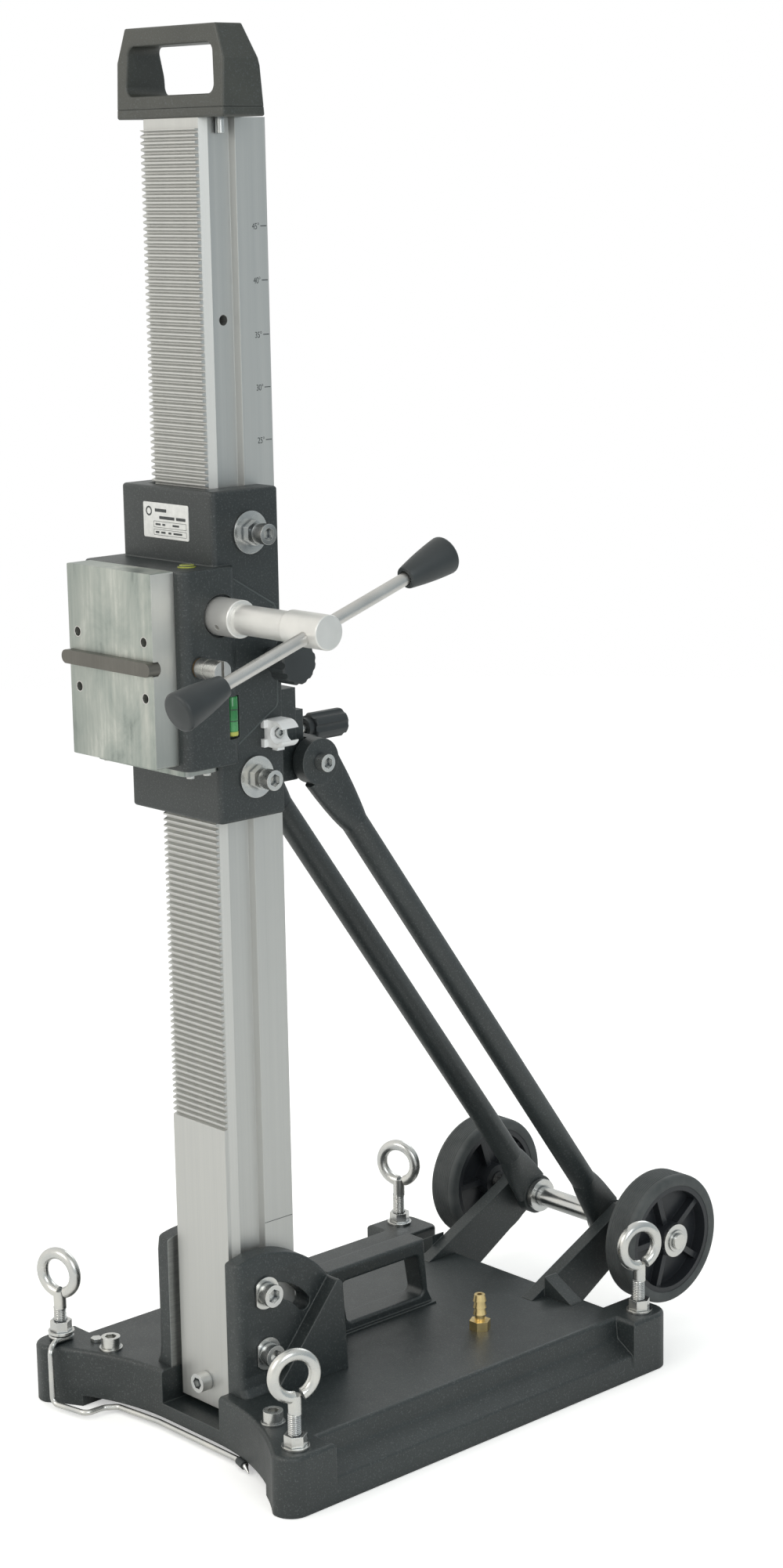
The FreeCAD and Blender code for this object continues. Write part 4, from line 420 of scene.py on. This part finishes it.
FINISH = {
    "casting": coat,
    "extrusion": brushed_extrusion().material,
    "bare_aluminium": machined_plate().material,
    "zinc_steel": zinc,
    "plain_steel": steel,
    "dark_steel": turned_steel("dark_steel", (0.17, 0.165, 0.15), 0.45).material,
    "bronze": yellow_metal("bronze", (0.50, 0.33, 0.15), 0.35).material,
    "brass": yellow_metal("brass", (0.95, 0.74, 0.36), 0.28).material,
    "bearing_plastic": moulded("pad_plastic", (0.60, 0.59, 0.55), 0.45).material,
    "knob_plastic": knob_plastic,
    "rim_plastic": moulded("rim_plastic", (0.018, 0.0205, 0.024), 0.36).material,
    "white_plastic": moulded("white_plastic", (0.84, 0.85, 0.84), 0.38).material,
    "tyre": tyre,
    "seal_rubber": moulded("seal_rubber", (0.015, 0.015, 0.016), 0.6).material,
    "vial_green": green_vial,
    "vial_yellow": yellow_vial,
}
SPECIAL = {"column_cheeks": cheek_coat, "crank_hub": hub_metal, "top_handle": lit_handle_coat}


def dress_cad_nodes():
    """Give every CAD node the finish that its record slot names."""
    for row in frame["record"]["subparts"]:
        thing = nodes[row["node"]]
        finish = SPECIAL.get(row["node"], FINISH[row["material_slot"]])
        if not thing.material_slots:
            thing.data.materials.append(finish)
        for slot in thing.material_slots:
            slot.material = finish


# ---------------------------------------------------------------- pieces

def piece(name, verts, faces, finish, body, slot, replaced=(), sharp=35):
    """A mesh piece that rides on a body. Edges sharper than sharp degrees stay crisp."""
    mesh = bpy.data.meshes.new(name)
    mesh.from_pydata([tuple(value * MM for value in vert) for vert in verts], [], faces)
    mesh.validate()
    shape = bmesh.new()
    shape.from_mesh(mesh)
    bmesh.ops.recalc_face_normals(shape, faces=shape.faces)
    shape.to_mesh(mesh)
    shape.free()
    mesh.shade_smooth()
    mesh.set_sharp_from_angle(angle=math.radians(sharp))
    mesh.materials.append(finish)
    thing = bpy.data.objects.new(name, mesh)
    bpy.context.collection.objects.link(thing)
    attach(thing, body)
    if replaced:
        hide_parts(*replaced)


def box_of(node):
    """The low and high corners of a CAD node, in millimetres."""
    return [[value / MM for value in corner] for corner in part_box(node)]


def joined(*shapes):
    """Several (points, faces) shapes as one."""
    verts, faces = [], []
    for points, loops in shapes:
        start = len(verts)
        verts += points
        faces += [tuple(start + k for k in loop) for loop in loops]
    return verts, faces


def loft(rows, steps, closed=False):
    """The faces that join rows of points. The ends are capped unless the rows close."""
    faces = []
    for row in range(rows if closed else rows - 1):
        after = (row + 1) % rows
        for k in range(steps):
            side = (k + 1) % steps
            faces.append((row * steps + k, row * steps + side, after * steps + side,
                          after * steps + k))
    if not closed:
        faces.append(tuple(range(steps)))
        faces.append(tuple((rows - 1) * steps + k for k in range(steps)))
    return faces


def turned(profile, axis, centre, steps=40, closed=False):
    """A shape of revolution. The profile lists (distance along the axis, radius)."""
    verts = []
    for along, radius in profile:
        for k in range(steps):
            angle = 2 * math.pi * k / steps
            u, v = centre[0] + radius * math.cos(angle), centre[1] + radius * math.sin(angle)
            verts.append({"x": (along, u, v), "y": (u, along, v), "z": (u, v, along)}[axis])
    return verts, loft(len(profile), steps, closed)


def turned_along(profile, start, way, steps=56):
    """A turned shape about any line. The profile lists (distance from the start, radius)."""
    way = Vector(way).normalized()
    side = way.orthogonal().normalized()
    over = way.cross(side)
    verts = []
    for along, radius in profile:
        for k in range(steps):
            angle = 2 * math.pi * k / steps
            verts.append(tuple(Vector(start) + way * along + side * (radius * math.cos(angle))
                               + over * (radius * math.sin(angle))))
    return verts, loft(len(profile), steps)


def ring(inner, outer, low, high, axis, centre):
    """A plain ring between two radii."""
    profile = [(low, inner), (high, inner), (high, outer), (low, outer)]
    return turned(profile, axis, centre, closed=True)


def sheet_block(outline, low, high, lay):
    """A flat piece with the given outline. lay turns (u, v, w) into x, y and z."""
    count = len(outline)
    verts = [lay(u, v, w) for w in (low, high) for u, v in outline]
    faces = [tuple(range(count)), tuple(range(count, 2 * count))]
    for k in range(count):
        after = (k + 1) % count
        faces.append((k, after, count + after, count + k))
    return verts, faces


def rounded(u0, v0, u1, v1, radius, steps=4):
    """The outline of a rectangle with round corners."""
    points = []
    for cu, cv, start in ((u1 - radius, v1 - radius, 0), (u0 + radius, v1 - radius, 90),
                          (u0 + radius, v0 + radius, 180), (u1 - radius, v0 + radius, 270)):
        for k in range(steps + 1):
            angle = math.radians(start + 90 * k / steps)
            points.append((cu + radius * math.cos(angle), cv + radius * math.sin(angle)))
    return points


def frame_of(u0, v0, u1, v1, line, radius, low, high, lay):
    """A rectangular outline drawn with a line of the given width."""
    outer = rounded(u0, v0, u1, v1, radius)
    inner = rounded(u0 + line, v0 + line, u1 - line, v1 - line, max(radius - line, 0.05))
    count = len(outer)
    verts = [lay(u, v, w) for w in (low, high) for edge in (outer, inner) for u, v in edge]
    faces = []
    for k in range(count):
        after = (k + 1) % count
        for base, top in ((0, 2 * count), (count, 3 * count)):
            faces.append((base + k, base + after, top + after, top + k))
        for level in (0, 2 * count):
            faces.append((level + k, level + after, level + count + after, level + count + k))
    return verts, faces


# ---------------------------------------------------------------- marks on the column

def side_face(u, v, w):
    """On the column's right side: u towards the back, v up, w out."""
    return (w, u, v)


def written(text, size):
    """A line of text as a mesh that ends at the origin. The caller removes it."""
    words = bpy.data.curves.new("words", "FONT")
    words.body = text
    words.size = size * MM
    words.align_x = "RIGHT"
    words.extrude = 0.05 * MM
    words.space_character = 0.95
    made = bpy.data.objects.new("words", words)
    bpy.context.collection.objects.link(made)
    bpy.context.view_layer.update()
    solid = made.evaluated_get(bpy.context.evaluated_depsgraph_get())
    mesh = bpy.data.meshes.new_from_object(solid)
    bpy.data.objects.remove(made)
    bpy.data.curves.remove(words)
    return mesh


def column_marks():
    """The angle ticks with their numbers, and a scribed line near the column's foot."""
    face, back = box_of("column")[1][:2]
    edge = back - TICK_GAP
    bars = []
    for z in TICKS.values():
        outline = rounded(edge - TICK_LONG, z - TICK_HALF, edge, z + TICK_HALF, 0.3)
        bars.append(sheet_block(outline, face - 0.1, face + 0.05, side_face))
    scribe = rounded(back - SCRIBE_LONG, SCRIBE_Z - SCRIBE_HALF, back - 0.4,
                     SCRIBE_Z + SCRIBE_HALF, 0.1)
    bars.append(sheet_block(scribe, face - 0.1, face + 0.04, side_face))
    piece("column_marks", *joined(*bars), print_ink, "column", "rim_plastic")
    numbers = []
    right = edge - TICK_LONG - NUMBER_GAP
    for number, z in TICKS.items():
        mesh = written(f"{number}\u00b0", NUMBER_SIZE)
        points = [(face if v.co.z <= 0 else face + 0.05, right + NUMBER_WIDTH * v.co.x / MM,
                   z - NUMBER_DROP + v.co.y / MM) for v in mesh.vertices]
        numbers.append((points, [tuple(loop.vertices) for loop in mesh.polygons]))
        bpy.data.meshes.remove(mesh)
    piece("column_numbers", *joined(*numbers), print_ink, "column", "rim_plastic", sharp=20)


# ---------------------------------------------------------------- rating label without words

def front_face(u, v, w):
    """On the carriage's front: u to the right, v up, w out."""
    return (u, -w, v)


def rating_label():
    """A foil plate with a square mark, three bars, and two frames that hold dashes."""
    plate = sheet_block(rounded(*LABEL, 1.6), LABEL_FRONT - 0.1, LABEL_FRONT + 0.5, front_face)
    piece("rating_label", *plate, foil, "carriage", "white_plastic")
    low, high = LABEL_FRONT + 0.45, LABEL_FRONT + 0.56
    marks = [frame_of(-27.5, 849.5, -19, 858, 1.5, 4.2, low, high, front_face)]
    for bar in ((-15, 853.6, 1, 856.4), (-9, 847.6, 12, 850.2), (14, 847.6, 27, 850.2)):
        marks.append(sheet_block(rounded(*bar, 0.5), low, high, front_face))
    for box in ((-17, 840, 28, 845.6), (-17, 833.4, 28, 838.6)):
        marks.append(frame_of(*box, 0.35, 0.6, low, high, front_face))
    for z, dashes in ((842, ((-14.5, 7), (-5, 4), (9, 9))),
                      (835.2, ((-14.5, 5), (-7, 6), (3, 4), (10, 12)))):
        for x, long in dashes:
            marks.append(sheet_block(rounded(x, z, x + long, z + 1.7, 0.4), low, high,
                                     front_face))
    piece("label_print", *joined(*marks), print_ink, "carriage", "rim_plastic")


# ---------------------------------------------------------------- level vials

def side_vial():
    """A green tube with a yellow cap and two lines, let into the carriage's side."""
    low, high = box_of("side_vial")
    foot, head = low[2], high[2]
    centre = (low[0] + 0.6, (low[1] + high[1]) / 2)
    glass = turned([(foot + 6, 0.5), (foot + 6, 5.0), (foot + 7, 5.4), (head - 1.2, 5.4),
                    (head - 0.3, 4.8), (head - 0.3, 0.5)], "z", centre)
    piece("side_vial_glass", *glass, green_vial, "carriage", "vial_green", ("side_vial",))
    cap = turned([(foot + 2.2, 0.5), (foot + 2.2, 4.9), (foot + 2.9, 5.5), (foot + 6, 5.5),
                  (foot + 6.2, 0.5)], "z", centre)
    piece("side_vial_cap", *cap, yellow_vial, "carriage", "vial_yellow")
    lines = [ring(5.35, 5.55, z, z + 0.6, "z", centre) for z in (foot + 15, foot + 25)]
    piece("side_vial_lines", *joined(*lines), print_ink, "carriage", "rim_plastic")


def top_vial():
    """A centring ring and a dark rim on the round vial on top of the carriage."""
    low, high = box_of("top_vial")
    centre, top = ((low[0] + high[0]) / 2, (low[1] + high[1]) / 2), high[2]
    target = ring(2.7, 3.3, top - 0.2, top + 0.08, "z", centre)
    rim = ring(7.4, 8.0, top - 1.2, top - 0.3, "z", centre)
    piece("top_vial_rings", *joined(target, rim), print_ink, "carriage", "rim_plastic")


# ---------------------------------------------------------------- crank grips

def grip_profile(near, far):
    """A tapered grip from the lever outwards, bored for it, with softly rounded ends."""
    thin, thick, bore, corner, lead = 10.0, 16.9, 5.6, 3.4, 1.6
    profile = [(near + 30, bore), (near + 1, bore), (near, bore + 0.8), (near, thin - 1.4),
               (near + 0.5, thin - 0.4), (near + lead, thin)]
    long = far - near
    for k in range(1, 9):
        t = k / 9
        swell = t + 0.10 * math.sin(math.pi * t)
        profile.append((near + lead + (long - 7) * t, thin + (thick - thin) * swell))
    for k in range(0, 7):
        angle = math.radians(90 * k / 6)
        profile.append((far - 4.4 + corner * math.sin(angle),
                        thick - corner + corner * math.cos(angle)))
    return profile + [(far - 0.6, thick - 8), (far - 0.15, 6), (far, 1.2)]


def crank_grips():
    """Two tapered grips on the crossed lever, a little shorter than the CAD's at each end."""
    lever_gap, outer_gap = 6, 3
    points = [vert.co / MM for vert in nodes["crank_grips"].data.vertices]
    middle = sum(points, Vector()) / len(points)
    ends = [[], []]
    for point in points:
        ends[point.y > middle.y].append(point)
    low, high = (sum(group, Vector()) / len(group) for group in ends)
    centre, way = (low + high) / 2, (high - low).normalized()
    shapes = []
    for sign in (-1, 1):
        reach = [(point - centre).dot(way) * sign for point in ends[sign > 0]]
        profile = grip_profile(min(reach) + lever_gap, max(reach) - outer_gap)
        shapes.append(turned_along(profile, centre, way * sign))
    piece("lever_grips", *joined(*shapes), knob_plastic, "crank", "knob_plastic",
          ("crank_grips",), 32)


# ---------------------------------------------------------------- ridges and hole rims

def facet_highlight_ridges():
    """The raised casting line round the flat on the carriage's right side, in a lighter coat as
    a painted highlight along its edges.
    """
    corners = [(-194, 811), (-131.5, 774), (-130, 771), (-130, 688), (-131.5, 684.5),
               (-194, 645)]
    runs = []
    for one, two in zip(corners, corners[1:]):
        start, end = Vector((FACET_X, *one)), Vector((FACET_X, *two))
        long = (end - start).length
        profile = [(-0.2, 0.5), (0, RIDGE_RADIUS), (long, RIDGE_RADIUS), (long + 0.2, 0.5)]
        runs.append(turned_along(profile, start, end - start, 16))
    piece("facet_highlight_ridges", *joined(*runs), ridge_highlight_coat, "carriage", "casting")


def hole_rims():
    """The bright countersunk rim of each hole in the motor plate."""
    front, bore = box_of("motor_plate")[0][1], PLATE_HOLE_RADIUS
    profile = [(front - 0.04, bore), (front - 0.04, bore + 0.75), (front + 0.3, bore + 0.75),
               (front + 0.9, bore)]
    rims = [turned(profile, "y", (x, z), closed=True)
            for x in (-PLATE_HOLE_X, PLATE_HOLE_X) for z in PLATE_HOLE_Z]
    piece("plate_hole_rims", *joined(*rims), steel, "carriage", "bare_aluminium")


# ---------------------------------------------------------------- threads on the levelling eyes

def thread(centre, bottom, steps=36):
    """A threaded rod, tapered at its foot, whose thread runs out at its head."""
    verts = []
    deep = THREAD_CREST - THREAD_ROOT
    rows = int((THREAD_TOP - bottom) / (THREAD_PITCH / 6)) + 1
    for row in range(rows):
        z = bottom + (THREAD_TOP - bottom) * row / (rows - 1)
        lead = min(1.0, (z - bottom) / 2.0)
        runout = min(1.0, max(0.0, (THREAD_TOP - z) / THREAD_PITCH))
        for k in range(steps):
            phase = (z / THREAD_PITCH - k / steps) % 1.0
            tooth = min(1.0, max(0.0, 1.5 * (1 - abs(2 * phase - 1)) - 0.25))
            radius = THREAD_CREST - deep * (1 - tooth) * runout
            radius -= (1 - lead) * deep
            angle = 2 * math.pi * k / steps
            verts.append((centre[0] + radius * math.cos(angle),
                          centre[1] + radius * math.sin(angle), z))
    return verts, loft(rows, steps)


def levelling_eyes():
    """Each levelling screw keeps its bent eye and gets a real thread below it."""
    for corner in ("front_left", "front_right", "rear_left", "rear_right"):
        node = f"eyebolt_{corner}"
        shape = bmesh.new()
        shape.from_mesh(nodes[node].data)
        shape.transform(nodes[node].matrix_world)
        bmesh.ops.remove_doubles(shape, verts=shape.verts, dist=1e-6)
        cut, close = (THREAD_TOP - 1) * MM, 1e-5
        everything = list(shape.verts) + list(shape.edges) + list(shape.faces)
        bmesh.ops.bisect_plane(shape, geom=everything, plane_co=(0, 0, cut),
                               plane_no=(0, 0, 1), clear_inner=True)
        rim = [edge for edge in shape.edges if edge.is_boundary
               and all(abs(vert.co.z - cut) < close for vert in edge.verts)]
        bmesh.ops.edgeloop_fill(shape, edges=rim)
        level = [vert.co for vert in shape.verts if abs(vert.co.z - cut) < close]
        centre = [sum(co[k] for co in level) / len(level) / MM for k in (0, 1)]
        eye = ([tuple(value / MM for value in vert.co) for vert in shape.verts],
               [tuple(vert.index for vert in face.verts) for face in shape.faces])
        shape.free()
        rod = thread(centre, box_of(node)[0][2])
        piece(f"level_eye_{corner}", *joined(rod, eye), zinc, f"level_{corner}", "zinc_steel",
              (node,), sharp=40)


# ---------------------------------------------------------------- tyres

def shoulder(radius, corner=4.5, steps=6):
    """A tyre's rounded shoulder: (distance in from the side, radius), outwards."""
    angles = [math.radians(90 * k / steps) for k in range(1, steps)]
    return [(corner * (1 - math.cos(angle)), radius - corner + corner * math.sin(angle))
            for angle in angles]


def tyres():
    """Tyres with fine grooves round the tread."""
    grooves, half_top, half_floor, deep = 9, 0.85, 0.4, 0.55
    for side in ("left", "right"):
        low, high = box_of(f"tyre_{side}")
        centre = ((low[1] + high[1]) / 2, (low[2] + high[2]) / 2)
        radius = (high[2] - low[2]) / 2
        x0, x1 = low[0], high[0]
        inner = radius - 11
        profile = [(x0 + 0.6, inner), (x0, inner + 1.2), (x0, radius - 6.5)]
        profile += [(x0 + step, reach) for step, reach in shoulder(radius)]
        tread = (x0 + 5, x1 - 5)
        for k in range(grooves):
            middle = tread[0] + (tread[1] - tread[0]) * (k + 0.5) / grooves
            profile += [(middle - half_top, radius), (middle - half_floor, radius - deep),
                        (middle + half_floor, radius - deep), (middle + half_top, radius)]
        profile += [(x1 - step, reach) for step, reach in reversed(shoulder(radius))]
        profile += [(x1, radius - 6.5), (x1, inner + 1.2), (x1 - 0.6, inner)]
        piece(f"tyre_tread_{side}", *turned(profile, "x", centre, 112, closed=True), tyre,
              f"wheel_{side}", "tyre", (f"tyre_{side}",), sharp=50)


# ---------------------------------------------------------------- camera, floor and light

def camera():
    """The photographer's place: in front, to the right and a little above the rig."""
    azimuth, elevation, roll = (math.radians(turn) for turn in (47.6027, 11.8993, -1.01546))
    ahead = Vector((-math.sin(azimuth) * math.cos(elevation),
                    math.cos(azimuth) * math.cos(elevation), -math.sin(elevation)))
    right = ahead.cross(Vector((0, 0, 1))).normalized()
    up = right.cross(ahead)
    rolled_right = right * math.cos(roll) + up * math.sin(roll)
    rolled_up = up * math.cos(roll) - right * math.sin(roll)
    lens = bpy.data.cameras.new("camera")
    lens.sensor_fit = "VERTICAL"
    lens.sensor_height = 36.0
    lens.lens = 67.346
    lens.clip_end = 100
    thing = bpy.data.objects.new("camera", lens)
    bpy.context.collection.objects.link(thing)
    rotation = Matrix((rolled_right, rolled_up, -ahead)).transposed()
    thing.matrix_world = Matrix.Translation((1.9843, -1.7488, 1.1417)) @ rotation.to_4x4()
    bpy.context.scene.camera = thing


def floor():
    """A pale disc that fades out far from the rig, so that no horizon line shows."""
    radius, drop = 12, 0.0005
    mesh = bpy.data.meshes.new("floor")
    shape = bmesh.new()
    bmesh.ops.create_circle(shape, cap_ends=True, radius=radius, segments=96)
    shape.to_mesh(mesh)
    shape.free()
    disc = bpy.data.objects.new("floor", mesh)
    disc.location.z = -drop
    bpy.context.collection.objects.link(disc)
    m = Shader("floor_paint")
    m.set(Base_Color=(0.90, 0.90, 0.89, 1), Roughness=0.8, Emission_Color=(1, 1, 1, 1))
    seen = (m.add("ShaderNodeLightPath"), "Is Camera Ray")
    m.to(m.math("MULTIPLY", seen, 0.42), "Emission Strength")
    away = (m.vector("LENGTH", m.place), "Value")
    clear = (m.add("ShaderNodeBsdfTransparent"), "BSDF")
    faded = m.blend_shaders(m.between(away, 0.0, 1.0, 1.4, 4.0), (m.surface, "BSDF"), clear)
    m.feed(faded, m.output, "Surface")
    disc.data.materials.append(m.material)


def soft_box(name, spot, wide, tall, power, colour):
    """A rectangular lamp that faces the middle of the rig."""
    lamp = bpy.data.lights.new(name, "AREA")
    lamp.shape = "RECTANGLE"
    lamp.size, lamp.size_y = wide, tall
    lamp.energy = power
    lamp.color = colour
    thing = bpy.data.objects.new(name, lamp)
    bpy.context.collection.objects.link(thing)
    way = (Vector((0, 0, 0.7)) - Vector(spot)).normalized()
    turn = way.to_track_quat("-Z", "Y").to_matrix().to_4x4()
    thing.matrix_world = Matrix.Translation(spot) @ turn


def studio():
    """A white room, a little darker and cooler behind the rig on its right, and soft boxes."""
    world = bpy.data.worlds.new("studio")
    world.use_nodes = True
    room = Nodes(world.node_tree)
    out = room.add("ShaderNodeOutputWorld")
    place = (room.add("ShaderNodeTexCoord"), "Generated")
    toward = (room.vector("DOT_PRODUCT", place, (-0.72, -0.62, 0.30)), "Value")
    walls = room.ramp(room.between(toward, 0.0, 1.0, -1.0, 1.0),
                      [(0.0, (0.42, 0.475, 0.50)), (1.0, (1.0, 0.985, 0.94))])
    glow, backdrop = room.add("ShaderNodeBackground"), room.add("ShaderNodeBackground")
    room.feed(walls, glow, "Color")
    room.feed(0.95, glow, "Strength")
    room.feed((1, 1, 1, 1), backdrop, "Color")
    room.feed(1.0, backdrop, "Strength")
    seen = (room.add("ShaderNodeLightPath"), "Is Camera Ray")
    both = room.blend_shaders(seen, (glow, "Background"), (backdrop, "Background"))
    room.feed(both, out, "Surface")
    bpy.context.scene.world = world
    soft_box("key", (-0.3, -3.4, 2.3), 1.8, 1.5, 25, (1.0, 0.97, 0.92))
    soft_box("side", (3.2, -1.2, 2.2), 1.2, 2.0, 24, (0.95, 0.98, 1.0))
    soft_box("rear", (-1.2, 3.0, 2.2), 1.6, 1.6, 16, (0.93, 0.97, 1.0))
    bpy.context.scene.view_settings.view_transform = "Standard"


dress_cad_nodes()
column_marks()
rating_label()
side_vial()
top_vial()
crank_grips()
facet_highlight_ridges()
hole_rims()
levelling_eyes()
tyres()
camera()
floor()
studio()
